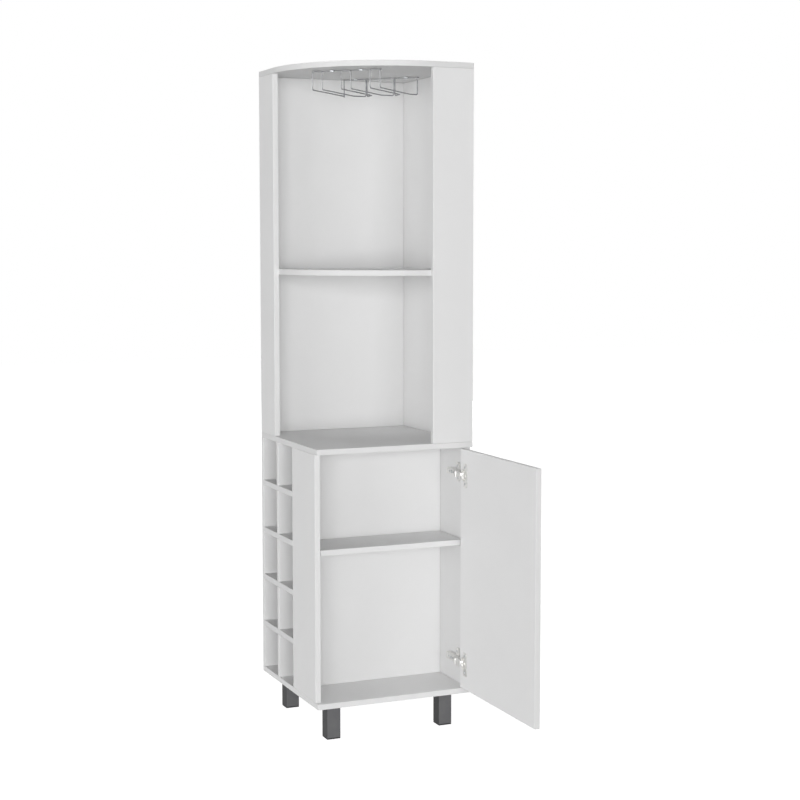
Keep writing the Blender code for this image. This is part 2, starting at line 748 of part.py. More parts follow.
def build_mounting_plate(name, height, screw_hole, nickel, arm_axis):
    """Build the plate on the side board that the arm is screwed to."""
    side = ARM_PIN_FROM_SIDE
    seat = side - SEAT_GAP
    top = side - ARM_HEIGHT + ARM_SHEET + SEAT_GAP
    centre = PLATE_CENTRE + DOOR_SPACE - ARM_PIN_BEHIND_DOOR
    half_block = LINK_EYE_HALF_WIDTH - PLATE_EASE
    outline = rounded_rectangle(PLATE_WING_HEIGHT, PLATE_WING_WIDTH, PLATE_WING_CORNER)
    place = Matrix.Translation((seat, centre, height)) @ Matrix.Rotation(
        math.radians(-90.0), 4, "Y"
    )
    plate = piece(
        f"hinge_{name}_plate", prism(outline, 0, PLATE_BASE - SEAT_GAP, place), nickel, arm_axis
    )
    rise = block(
        (top, centre - PLATE_BLOCK_LENGTH / 3, height - half_block),
        (seat - PLATE_BASE / 2, centre + PLATE_BLOCK_LENGTH * 2 / 3, height + half_block),
    )
    body = piece(f"plate_block_{name}", rise, nickel, arm_axis)
    ease(body, PLATE_EASE)
    combine(plate, body, "UNION")
    combine(plate, screw_hole, "DIFFERENCE")


def tube(name, path, radius, material, parent):
    """Return a wire along a path as a curve with a round bevel and closed ends."""
    curve = bpy.data.curves.new(name, "CURVE")
    curve.dimensions = "3D"
    curve.bevel_depth = radius
    curve.bevel_resolution = 2
    curve.use_fill_caps = True
    spline = curve.splines.new("POLY")
    spline.points.add(len(path) - 1)
    for point, place in zip(spline.points, path):
        point.co = (*place, 1.0)
    curve.materials.append(material)
    wire = bpy.data.objects.new(name, curve)
    wire.parent = parent
    bpy.context.scene.collection.objects.link(wire)
    return wire


def build_glass_rack(steel, frame):
    """Build the bent wire channels, the two hanging bars and the clips under the top board.

    In the frame of the diagonal, X runs from the front left to the inner back right corner, where
    the frame has its origin.
    """
    lie = math.atan2(BACK_FRONT, SIDE_LEFT)
    diagonal = empty("rack_frame", (SIDE_LEFT, BACK_FRONT, 0), lie, frame)
    rear = -RACK_FROM_CORNER
    nose = rear - RACK_LENGTH
    flare_start = rear - RACK_FLARE_LENGTH
    wire_top = TOP_LOW - RACK_TOP_GAP
    cross = wire_top - RACK_WIRE_RADIUS
    rail = cross - RACK_DROP
    beside = RACK_WIRE_RADIUS + SEAT_GAP / 2
    half_rail = RACK_RAIL_SPACING / 2
    middle = (RACK_CHANNELS - 1) / 2
    for index in range(RACK_CHANNELS):
        centre = -RACK_SHIFT - (index - middle) * RACK_PITCH
        outer = RACK_LEG_SPREAD / 2
        legs = []
        for side in (1.0, -1.0):
            boundary = centre + side * RACK_PITCH / 2
            is_end = (index == 0 and side > 0) or (index == RACK_CHANNELS - 1 and side < 0)
            legs.append(centre + side * outer if is_end else boundary - side * beside)
        rails = (centre + half_rail, centre - half_rail)
        corners = [
            (rear, legs[0], wire_top),
            (rear, legs[0], rail),
            (flare_start, rails[0], rail),
            (nose, rails[0], rail),
            (nose, rails[0], cross),
            (nose, rails[1], cross),
            (nose, rails[1], rail),
            (flare_start, rails[1], rail),
            (rear, legs[1], rail),
            (rear, legs[1], wire_top),
        ]
        bend, flare = RACK_BEND, RACK_FLARE_BEND
        radii = [bend, flare, bend, bend, bend, bend, flare, bend]
        path = rounded_path(corners, radii, RACK_BEND_STEPS)
        tube(f"rack_wire_{index + 1}", path, RACK_WIRE_RADIUS, steel, diagonal)
    behind = 2 * RACK_WIRE_RADIUS + SEAT_GAP
    half_pitches = middle * RACK_PITCH
    last_leg = half_pitches + RACK_LEG_SPREAD / 2
    double_leg = half_pitches - RACK_PITCH / 2
    bars = {
        "front": (nose + behind, half_pitches + half_rail, half_pitches / 2),
        "rear": (rear + behind, last_leg, (double_leg + last_leg) / 2),
    }
    for name, (x, last, clip_offset) in bars.items():
        reach = last + BAR_OVERHANG
        ends = [(x, -RACK_SHIFT - reach, cross), (x, -RACK_SHIFT + reach, cross)]
        tube(f"rack_{name}_bar", ends, RACK_WIRE_RADIUS, steel, diagonal)
        for side, sign in (("left", 1.0), ("right", -1.0)):
            offset = sign * clip_offset
            build_clip(f"rack_clip_{name}_{side}", x, offset, cross, steel, diagonal)


def build_clip(name, x, offset, cross, steel, diagonal):
    """Build a bent strap that holds a bar up against the top board."""
    inner = RACK_WIRE_RADIUS + SEAT_GAP
    outer = inner + CLIP_SHEET
    top = TOP_LOW - SEAT_GAP - cross
    under = top - CLIP_SHEET
    outline = [(CLIP_TAB, top), (CLIP_TAB, under)]
    outline += arc((0, 0), outer, 0, -math.pi, CLIP_BEND_STEPS)
    outline += [(-CLIP_TAB, under), (-CLIP_TAB, top), (-inner, top)]
    outline += arc((0, 0), inner, -math.pi, 0, CLIP_BEND_STEPS)
    outline += [(inner, top)]
    outline.insert(2, (outer, under))
    outline.insert(4 + CLIP_BEND_STEPS, (-outer, under))
    lying = Matrix.Translation((x, offset - RACK_SHIFT, cross)) @ Matrix.Rotation(
        math.radians(90.0), 4, "X"
    )
    strap = prism(outline, -CLIP_WIDTH / 2, CLIP_WIDTH / 2, lying)
    return piece(name, strap, steel, diagonal)


def build_cabinet():
    """Build the whole cabinet with its door open."""
    clear_scene()
    white = finish("white_melamine", (0.76, 0.76, 0.75), 0.42)
    grey = finish("dark_grey_lacquer", (0.12, 0.12, 0.12), 0.5)
    steel = finish("satin_steel", (0.42, 0.42, 0.43), 0.35, 1.0)
    nickel = finish("nickel_plate", (0.62, 0.61, 0.59), 0.3, 1.0)
    felt = finish("felt_pad", (0.05, 0.05, 0.05), 0.95)
    frame = empty("cabinet_frame", (-WIDTH / 2, -(DEPTH + DOOR_OPEN_REACH) / 2, 0))
    left, right = build_lower_carcass(white, frame)
    build_cubbies(white, frame)
    build_compartment_shelf(white, steel, left, right, frame)
    build_upper_carcass(white, frame)
    build_feet(grey, steel, felt, frame)
    build_glass_rack(steel, frame)
    door_axis = empty("door_axis", CUP_PIN_OPEN, DOOR_OPEN_TURN, frame)
    build_door(white, nickel, door_axis)
    link_axis = empty("link_axis", ARM_PIN, LINK_OPEN_TURN, frame)
    arm_axis = empty("arm_axis", ARM_PIN, 0, frame)
    for name, height in HINGE_HEIGHTS.items():
        build_hinge_link(name, height, nickel, link_axis)
        build_hinge_arm(name, height, nickel, arm_axis)


build_cabinet()
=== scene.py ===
"""Looks of a corner bar cabinet: white melamine board, wire glass rack, concealed hinges.

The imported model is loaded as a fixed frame. The finishes and the tools that make shapes come first.
Then there is one class for each sub-assembly: it keeps its sizes as fields, dresses the frame's own
nodes or builds finer pieces over them, and rides them on the body that carries them. Everything is
in metres, in the frame's own coordinates.
"""

import logging
import math
from collections.abc import Callable
from dataclasses import dataclass, field
from enum import Enum
from functools import partial

import bmesh
import bpy
from bmesh.types import BMesh
from bpy.types import ID, Material, Mesh, Node, NodeSocket, NodeTree, Object, Scene
from mathutils import Matrix, Vector


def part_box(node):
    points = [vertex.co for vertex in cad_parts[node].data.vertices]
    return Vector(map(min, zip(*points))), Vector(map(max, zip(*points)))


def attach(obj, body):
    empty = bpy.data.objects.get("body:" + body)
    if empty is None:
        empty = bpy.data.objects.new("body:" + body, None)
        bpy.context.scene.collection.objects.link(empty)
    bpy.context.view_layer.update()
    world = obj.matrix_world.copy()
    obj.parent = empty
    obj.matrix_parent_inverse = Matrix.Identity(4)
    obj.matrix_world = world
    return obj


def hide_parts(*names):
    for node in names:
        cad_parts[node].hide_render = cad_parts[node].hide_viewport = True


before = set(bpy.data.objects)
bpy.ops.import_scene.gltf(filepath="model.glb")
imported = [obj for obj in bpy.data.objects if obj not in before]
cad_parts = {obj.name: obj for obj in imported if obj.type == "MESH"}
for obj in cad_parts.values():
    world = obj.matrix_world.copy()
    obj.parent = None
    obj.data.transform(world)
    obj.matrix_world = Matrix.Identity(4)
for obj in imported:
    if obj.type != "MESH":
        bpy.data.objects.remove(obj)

LOG = logging.getLogger("cabinet")
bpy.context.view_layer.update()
MM = 0.001
WHITE = "#e4e4e4"
UNBENT = "unbent_place"
# Corners closer than this are one: in a shape built here, and in a copy of a frame's node.
SAME_CORNER = 0.001 * MM
SAME_FRAME_CORNER = 0.01 * MM
# Turns of an edge in degrees: faces that turn less are one, and edges that turn more are rounded.
FLAT_TURN = 1.0
ROUNDED_TURN = 35.0
# Where a small part sits: its place, its direction and the radius of its head.
Spot = tuple[Vector, Vector, float]
# add_node with its tree already given.
Adder = Callable[..., Node]


class Axis(Enum):
    """The direction that a board's thickness runs in."""

    X = 0
    Y = 1
    Z = 2


def linear(code: str) -> tuple[float, float, float, float]:
    """Turn an sRGB hex colour into Blender's linear colour.

    Args:
        code: The colour as #rrggbb.

    Returns:
        Linear red, green and blue with an alpha of one.
    """
    channels = [int(code[start : start + 2], 16) / 255 for start in (1, 3, 5)]
    low = 0.04045
    values = [c / 12.92 if c <= low else ((c + 0.055) / 1.055) ** 2.4 for c in channels]
    return (values[0], values[1], values[2], 1.0)


def add_node(tree: NodeTree, kind: str, inputs: dict | None = None, **settings: object) -> Node:
    """Add a node with its settings, values and links.

    Args:
        tree: The node tree that takes the node.
        kind: Blender's name of the node type.
        inputs: Values or output sockets, by the input's name or number.
        **settings: Properties of the node itself.

    Returns:
        The new node.
    """
    node = tree.nodes.new(kind)
    for name, value in settings.items():
        setattr(node, name, value)
    for key, value in (inputs or {}).items():
        if isinstance(value, NodeSocket):
            tree.links.new(value, node.inputs[key])
        else:
            node.inputs[key].default_value = value
    return node


def ramp(add: Adder, value: NodeSocket, stops: dict[float, str]) -> NodeSocket:
    """Map a value to colours.

    Args:
        add: Adds a node to the material's tree.
        value: The socket that drives the ramp.
        stops: Two hex colours by their place between zero and one.

    Returns:
        The ramp's colour output.
    """
    node = add("ShaderNodeValToRGB", {"Fac": value})
    elements = node.color_ramp.elements
    for element, place in zip(elements, sorted(stops)):
        element.position, element.color = place, linear(stops[place])
    return node.outputs["Color"]


def bump(add: Adder, height: NodeSocket, depth: float) -> NodeSocket:
    """Turn a height into a normal.

    Args:
        add: Adds a node to the material's tree.
        height: The height, zero to one.
        depth: What a height of one stands for, in metres.

    Returns:
        The bumped normal.
    """
    inputs = {"Height": height, "Distance": depth, "Strength": 1.0}
    return add("ShaderNodeBump", inputs).outputs["Normal"]


@dataclass(frozen=True)
class Finish:
    """What every finish of the cabinet starts from."""

    name: str
    colour: str
    roughness: float
    metallic: float = 0.0
    specular: float = 0.5

    def material(self) -> Material:
        """Make the material once, with its plain values and its detail.

        Returns:
            The finished material.
        """
        made = bpy.data.materials.get(self.name)
        if made:
            return made
        made = bpy.data.materials.new(self.name)
        made.use_nodes = True
        tree = made.node_tree
        shader = tree.nodes["Principled BSDF"]
        shader.inputs["Base Color"].default_value = linear(self.colour)
        shader.inputs["Roughness"].default_value = self.roughness
        shader.inputs["Metallic"].default_value = self.metallic
        shader.inputs["Specular IOR Level"].default_value = self.specular
        add = partial(add_node, tree)
        place = add("ShaderNodeTexCoord").outputs["Object"]
        for name, socket in self.detail(add, place).items():
            tree.links.new(socket, shader.inputs[name])
        return made

    def detail(self, add: Adder, place: NodeSocket) -> dict[str, NodeSocket]:
        """Build the nodes that give the finish its detail.

        Args:
            add: Adds a node to the material's tree.
            place: The surface's Object coordinates.

        Returns:
            The sockets that drive the shader, by the names of its inputs.
        """
        raise NotImplementedError


@dataclass(frozen=True)
class Melamine(Finish):
    """White melamine-faced particleboard with an ABS edge band.

    The faces are pressed decor paper with a fine pearl texture. The edge band is extruded plastic,
    a little smoother, so it differs where the surface faces along the board.
    """

    axis: Axis = Axis.Z
    edge_colour: str = WHITE
    pearl_size: float = 0.9 * MM
    pearl_depth: float = 0.03 * MM
    cloud_size: float = 160 * MM
    cloud_step: int = 2
    edge_roughness: float = 0.38
    all_edge: float = 0.35
    all_face: float = 0.85

    def detail(self, add: Adder, place: NodeSocket) -> dict[str, NodeSocket]:
        """Build the pearl texture, the faint cloudiness and the smoother edge."""
        cloud = add(
            "ShaderNodeTexNoise",
            {"Vector": place, "Scale": 1 / self.cloud_size, "Detail": 3.0, "Roughness": 0.55},
        )
        face = ramp(add, cloud.outputs["Fac"], {0.3: self.colour, 0.7: self.lighter()})
        normal = add("ShaderNodeTexCoord").outputs["Normal"]
        parts = add("ShaderNodeSeparateXYZ", {"Vector": normal})
        along = add("ShaderNodeMath", {0: parts.outputs[self.axis.value]}, operation="ABSOLUTE")
        limits = {"From Min": self.all_edge, "From Max": self.all_face}
        on_edge = add(
            "ShaderNodeMapRange",
            {"Value": along.outputs[0], **limits, "To Min": 1.0, "To Max": 0.0},
        ).outputs["Result"]
        # For the round-fronted boards the edge colour mixed in here is painted shade.
        colour = add(
            "ShaderNodeMix",
            {"Factor": on_edge, 6: face, 7: linear(self.edge_colour)},
            data_type="RGBA",
        )
        gloss = add(
            "ShaderNodeMapRange",
            {"Value": on_edge, "To Min": self.roughness, "To Max": self.edge_roughness},
        )
        pearl = add(
            "ShaderNodeTexNoise",
            {"Vector": place, "Scale": 1 / self.pearl_size, "Detail": 2.0, "Roughness": 0.6},
        )
        flat = add(
            "ShaderNodeMix", {"Factor": on_edge, 2: pearl.outputs["Fac"], 3: 0.5}, data_type="FLOAT"
        )
        return {
            "Base Color": colour.outputs[2],
            "Roughness": gloss.outputs["Result"],
            "Normal": bump(add, flat.outputs[0], self.pearl_depth),
        }

    def lighter(self) -> str:
        """Return the face colour a step lighter, for the faint cloudiness."""
        channels = [int(self.colour[start : start + 2], 16) for start in (1, 3, 5)]
        return "#" + "".join(f"{min(255, c + self.cloud_step):02x}" for c in channels)


@dataclass(frozen=True)
class Lacquer(Finish):
    """Sprayed matt lacquer on a solid square post, with a faint orange-peel skin."""

    peel_size: float = 2.2 * MM
    peel_depth: float = 0.02 * MM
    wear_size: float = 44 * MM
    worn_colour: str = "#6e6e6f"
    # Painted shade: the posts' faces towards X are darker than their front and back.
    painted_shade_side_colour: str = "#474748"

    def detail(self, add: Adder, place: NodeSocket) -> dict[str, NodeSocket]:
        """Build the orange peel, the slightly uneven colour and the painted shade on the side faces.
        """
        peel = add(
            "ShaderNodeTexNoise", {"Vector": place, "Scale": 1 / self.peel_size, "Detail": 1.5}
        )
        wide = add("ShaderNodeTexNoise", {"Vector": place, "Scale": 1 / self.wear_size})
        front = ramp(add, wide.outputs["Fac"], {0.35: self.colour, 0.65: self.worn_colour})
        normal = add("ShaderNodeTexCoord").outputs["Normal"]
        parts = add("ShaderNodeSeparateXYZ", {"Vector": normal})
        # Painted shade: the more a face looks along X, the darker it is painted.
        painted_shade_on_side = add("ShaderNodeMath", {0: parts.outputs["X"]}, operation="ABSOLUTE")
        colour = add(
            "ShaderNodeMix",
            {"Factor": painted_shade_on_side.outputs[0], 6: front, 7: linear(self.painted_shade_side_colour)},
            data_type="RGBA",
        )
        return {
            "Base Color": colour.outputs[2],
            "Normal": bump(add, peel.outputs["Fac"], self.peel_depth),
        }


@dataclass(frozen=True)
class DrawnWire(Finish):
    """Drawn steel wire with a dull zinc skin, its draw marks running lengthwise.

    The marks are only micrometres apart, so they are drawn at a quarter of a millimetre to show.
    They follow the wire by the attribute that holds its unbent place.
    """

    mark_size: float = 0.25 * MM
    mark_length: float = 14 * MM
    mark_depth: float = 0.012 * MM
    patch_size: float = 12 * MM
    dark_colour: str = "#949597"

    def detail(self, add: Adder, place: NodeSocket) -> dict[str, NodeSocket]:
        """Build the draw marks and the dull patches."""
        unbent = add("ShaderNodeAttribute", attribute_name=UNBENT).outputs["Vector"]
        squeeze = (1 / self.mark_length, 1 / self.mark_size, 1 / self.mark_size)
        stretched = add("ShaderNodeMapping", {"Vector": unbent, "Scale": squeeze})
        marks = add(
            "ShaderNodeTexNoise",
            {"Vector": stretched.outputs["Vector"], "Scale": 1.0, "Detail": 2.0},
        )
        patches = add(
            "ShaderNodeTexNoise", {"Vector": place, "Scale": 1 / self.patch_size, "Detail": 3.0}
        )
        shades = {0.35: self.dark_colour, 0.7: self.colour}
        return {
            "Base Color": ramp(add, patches.outputs["Fac"], shades),
            "Normal": bump(add, marks.outputs["Fac"], self.mark_depth),
        }


@dataclass(frozen=True)
class Plated(Finish):
    """Nickel or zinc plated pressed steel: bright, with soft unevenness from the press."""

    grain_size: float = 0.6 * MM
    grain_depth: float = 0.008 * MM
    wave_size: float = 9 * MM
    dull_colour: str = "#c6c6c5"
    dull_roughness: float = 0.46

    def detail(self, add: Adder, place: NodeSocket) -> dict[str, NodeSocket]:
        """Build the uneven gloss, the faint tarnish and the fine grain."""
        grain = add(
            "ShaderNodeTexNoise", {"Vector": place, "Scale": 1 / self.grain_size, "Detail": 3.0}
        ).outputs["Fac"]
        wave = add(
            "ShaderNodeTexNoise", {"Vector": place, "Scale": 1 / self.wave_size, "Detail": 2.0}
        )
        gloss = add(
            "ShaderNodeMapRange",
            {"Value": grain, "To Min": self.roughness, "To Max": self.dull_roughness},
        )
        shades = {0.35: self.dull_colour, 0.65: self.colour}
        return {
            "Base Color": ramp(add, wave.outputs["Fac"], shades),
            "Roughness": gloss.outputs["Result"],
            "Normal": bump(add, grain, self.grain_depth),
        }


@dataclass(frozen=True)
class Felt(Finish):
    """Needled felt of the glide pads: short matted fibres, no shine."""

    fibre_size: float = 0.5 * MM
    fibre_depth: float = 0.2 * MM
    light_colour: str = "#575758"

    def detail(self, add: Adder, place: NodeSocket) -> dict[str, NodeSocket]:
        """Build the matted fibres."""
        fibres = add(
            "ShaderNodeTexNoise",
            {"Vector": place, "Scale": 1 / self.fibre_size, "Detail": 6.0, "Roughness": 0.8},
        ).outputs["Fac"]
        return {
            "Base Color": ramp(add, fibres, {0.3: self.colour, 0.8: self.light_colour}),
            "Normal": bump(add, fibres, self.fibre_depth),
        }


# The photograph shows no sheen on the boards that are seen at a flat angle: the lying boards and
# the door's top edge. Some boards are painted a shade lighter or darker, since its lamps can't be
# copied: the top and the round fronts' edges carry painted shade, the cubby walls, the bottom and the
# door carry painted light.
LOW_SHEEN = 0.12
# Painted shade: the round front edges of the top and the middle shelf are a darker grey than the
# white.
ROUND_FRONT_EDGE_PAINTED_SHADE = "#dfdfdf"
SIDE_FINISH = Melamine("white_melamine_side", WHITE, 0.42, axis=Axis.X)
FRONT_FINISH = Melamine("white_melamine_front", WHITE, 0.42, axis=Axis.Y)
LYING_FINISH = Melamine("white_melamine_lying", WHITE, 0.5, specular=LOW_SHEEN)
SHELF_FINISH = Melamine(
    "white_melamine_round_front", WHITE, 0.5, specular=LOW_SHEEN, edge_colour=ROUND_FRONT_EDGE_PAINTED_SHADE
)
# Painted shade: the top board is grey to darken its underside.
TOP_PAINTED_SHADE_FINISH = Melamine(
    "white_melamine_top", "#dadada", 0.5, specular=LOW_SHEEN, edge_colour=ROUND_FRONT_EDGE_PAINTED_SHADE
)
# Painted light: the cubby walls are a lighter white to brighten them inside the cubbies.
CUBBY_PAINTED_LIGHT_FINISH = Melamine("white_melamine_cubby", "#ebebeb", 0.42, axis=Axis.Y)
# Painted light: the bottom board is a lighter white to brighten the compartment's floor.
BOTTOM_PAINTED_LIGHT_FINISH = Melamine("white_melamine_bottom", "#e9e9e9", 0.42)
# Painted light: the door is a lighter white to brighten its inner face.
DOOR_PAINTED_LIGHT_FINISH = Melamine(
    "white_melamine_door", "#ececec", 0.5, specular=LOW_SHEEN, axis=Axis.X, edge_roughness=0.6
)
FOOT_FINISH = Lacquer("dark_grey_matt_lacquer", "#68686a", 0.6, specular=0.15)
WIRE_FINISH = DrawnWire("drawn_zinc_wire", "#acadaf", 0.5, 1.0)
NICKEL_FINISH = Plated("nickel_plated_steel", "#f1f0ee", 0.34, 1.0, dull_colour="#dededc")
ZINC_FINISH = Plated("zinc_plated_steel", "#d2d4d6", 0.3, 1.0, dull_colour="#bdbfc1")
FELT_FINISH = Felt("dark_needled_felt", "#3c3c3d", 0.95, specular=0.1)


def paint(name: str, finish: Finish) -> None:
    """Give one of the frame's nodes a finish.

    Args:
        name: The node's name.
        finish: The finish that its surface gets.
    """
    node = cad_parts[name]
    node.data.materials.clear()
    node.data.materials.append(finish.material())
    LOG.info("painted %s with %s", name, finish.name)


def add_object(name: str, data: ID) -> Object:
    """Put a mesh, lamp or camera into the scene.

    Args:
        name: The object's name.
        data: What it shows.

    Returns:
        The new object.
    """
    thing = bpy.data.objects.new(name, data)
    bpy.context.scene.collection.objects.link(thing)
    return thing


def add_piece(
    name: str, mesh: Mesh, finish: Finish, body: str, nodes: tuple[str, ...]
) -> None:
    """Add a finished piece to the scene on the body that carries it.

    Args:
        name: The piece's name.
        mesh: Its mesh, already in place.
        finish: The finish that its surface gets.
        body: The body that it moves with.
        nodes: The frame's nodes that it stands for, or none for a small part of its own.
    """
    mesh.materials.clear()
    mesh.materials.append(finish.material())
    mesh.name = name
    thing = add_object(name, mesh)
    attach(thing, body)
    if nodes:
        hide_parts(*nodes)
    LOG.info("built %s on %s with %d faces", name, body, len(mesh.polygons))


def settle(thing: Object) -> Mesh:
    """Take an object's modifiers into a plain mesh and remove them from the object.

    Args:
        thing: A working object that carries modifiers.

    Returns:
        The plain mesh.
    """
    bpy.context.view_layer.update()
    graph = bpy.context.evaluated_depsgraph_get()
    mesh = bpy.data.meshes.new_from_object(thing.evaluated_get(graph), depsgraph=graph)
    thing.modifiers.clear()
    return mesh


def discard(*things: Object) -> None:
    """Remove working objects from the scene."""
    for thing in things:
        bpy.data.objects.remove(thing, do_unlink=True)


def working(bm: BMesh, name: str) -> Object:
    """Return a working object made from a bmesh, with its normals outwards.

    Args:
        bm: The shape, which is freed.
        name: The object's name.

    Returns:
        The object, linked to the scene.
    """
    bmesh.ops.remove_doubles(bm, verts=bm.verts, dist=SAME_CORNER)
    bmesh.ops.recalc_face_normals(bm, faces=bm.faces)
    mesh = bpy.data.meshes.new(name)
    bm.to_mesh(mesh)
    bm.free()
    return add_object(name, mesh)


def cut_out(thing: Object, cutter: Object) -> None:
    """Cut one working object's shape out of another, as a modifier.

    Args:
        thing: The object that is cut.
        cutter: The shape that goes, which stays in the scene until the modifier is taken in.
    """
    modifier = thing.modifiers.new("cut", "BOOLEAN")
    modifier.operation = "DIFFERENCE"
    modifier.solver = "EXACT"
    modifier.object = cutter


def round_edges(thing: Object, width: float, steps: int, angle: float = ROUNDED_TURN) -> None:
    """Round the sharp edges of a working object, with flat faces kept flat to the eye.

    Args:
        thing: The working object.
        width: The radius of the rounding.
        steps: The faces across it.
        angle: The least turn of an edge that is rounded, in degrees.
    """
    thing.data.shade_smooth()
    modifier = thing.modifiers.new("rounding", "BEVEL")
    modifier.width = width
    modifier.segments = steps
    modifier.limit_method = "ANGLE"
    modifier.angle_limit = math.radians(angle)
    modifier.harden_normals = True


def soft_copy(name: str, width: float) -> Mesh:
    """Return a copy of one of the frame's nodes with its edges rounded.

    Args:
        name: The node's name.
        width: The radius of the rounding.

    Returns:
        The rounded mesh, where the node is.
    """
    bm = bmesh.new()
    bm.from_mesh(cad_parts[name].data)
    bmesh.ops.remove_doubles(bm, verts=bm.verts, dist=SAME_FRAME_CORNER)
    flat = math.radians(FLAT_TURN)
    bmesh.ops.dissolve_limit(bm, angle_limit=flat, verts=bm.verts, edges=bm.edges)
    thing = working(bm, f"{name}_copy")
    round_edges(thing, width, steps=2)
    mesh = settle(thing)
    discard(thing)
    return mesh


def cuboid(low: Vector, high: Vector) -> BMesh:
    """Return a box between two corners.

    Args:
        low: The lowest corner.
        high: The highest corner.

    Returns:
        The closed box.
    """
    bm = bmesh.new()
    place = Matrix.Translation((low + high) / 2) @ Matrix.Diagonal((*(high - low), 1.0))
    bmesh.ops.create_cube(bm, size=1.0, matrix=place)
    return bm


def lathe(profile: list[tuple[float, float]], steps: int) -> BMesh:
    """Turn a profile about Z.

    Args:
        profile: Radius and height from the lowest point to the highest; both ends have radius zero.
        steps: The number of sides.

    Returns:
        The closed turned shape.
    """
    bm = bmesh.new()
    rings = []
    for radius, height in profile:
        turns = [math.tau * step / steps for step in range(steps)] if radius else [0.0]
        rings.append(
            [bm.verts.new((radius * math.cos(t), radius * math.sin(t), height)) for t in turns]
        )
    for under, over in zip(rings, rings[1:]):
        for step in range(steps):
            after = (step + 1) % steps
            corners = [under[step % len(under)], under[after % len(under)]]
            corners += [over[after % len(over)], over[step % len(over)]]
            bm.faces.new(list(dict.fromkeys(corners)))
    return bm


@dataclass(frozen=True)
class Recess:
    """The tapered cross recess for a screwdriver, in units of the head's radius."""

    tip_radius: float = 0.2
    mouth_radius: float = 0.62
    depth: float = 0.6
    middle: float = 0.35
    blade_width: float = 0.24

    def cut(self, screw: Object) -> None:
        """Cut the two crossing slots into a screw's head.

        Args:
            screw: The turned screw.
        """
        cutters = [self.blade(turn) for turn in (0.0, math.pi / 2)]
        for cutter in cutters:
            cut_out(screw, cutter)
        screw.data = settle(screw)
        discard(*cutters)

    def blade(self, turn: float) -> Object:
        """Build the shape of one slot.

        Args:
            turn: Its turn about the screw, in radians.

        Returns:
            The working object.
        """
        bm = bmesh.new()
        bmesh.ops.create_cone(
            bm,
            segments=4,
            radius1=self.tip_radius,
            radius2=self.mouth_radius,
            depth=self.depth,
            cap_ends=True,
            matrix=Matrix.Translation((0, 0, self.middle)),
        )
        narrow = Matrix.Diagonal((1.0, self.blade_width, 1.0, 1.0))
        place = Matrix.Rotation(turn, 4, "Z") @ narrow
        bmesh.ops.transform(bm, matrix=place, verts=bm.verts)
        return working(bm, "recess_blade")


class Fastener(Enum):
    """The small turned parts, each as radius and height in units of its own head's radius."""

    CROSS_SCREW = (
        (0.0, -3.0), (0.24, -2.5), (0.46, -2.1), (0.46, 0.0), (0.98, 0.0), (1.0, 0.03), (1.0, 0.2),
        (0.95, 0.32), (0.82, 0.43), (0.6, 0.5), (0.3, 0.535), (0.0, 0.545),
    )
    RIVET = (
        (0.0, -0.3), (0.5, -0.3), (0.5, 0.0), (1.0, 0.0), (1.0, 0.08), (0.93, 0.2), (0.74, 0.3),
        (0.42, 0.35), (0.3, 0.3), (0.14, 0.27), (0.0, 0.26),
    )
    WELD = (
        (0.0, -0.75), (0.42, -0.7), (0.78, -0.5), (0.97, -0.22), (1.0, 0.0), (0.95, 0.24),
        (0.74, 0.52), (0.4, 0.68), (0.0, 0.72),
    )
    SHELF_PIN = (
        (0.0, -3.6), (0.82, -3.6), (1.0, -3.42), (1.0, 0.12), (1.72, 0.12), (1.8, 0.2), (1.8, 0.4),
        (1.72, 0.48), (1.0, 0.48), (1.0, 2.86), (0.92, 3.02), (0.7, 3.14), (0.36, 3.19), (0.0, 3.2),
    )

    @property
    def height(self) -> float:
        """Return how far the part stands above its seat."""
        return self.value[-1][1]

    def template(self, sides: int, sharp_turn: float) -> Object:
        """Build the part once, as a working object that others are made from.

        Args:
            sides: The number of sides.
            sharp_turn: The turn from which an edge looks sharp, in degrees.

        Returns:
            The working object.
        """
        thing = working(lathe(list(self.value), sides), f"{self.name.lower()}_template")
        if self is Fastener.CROSS_SCREW:
            Recess().cut(thing)
        thing.data.shade_smooth()
        thing.data.set_sharp_from_angle(angle=math.radians(sharp_turn))
        return thing


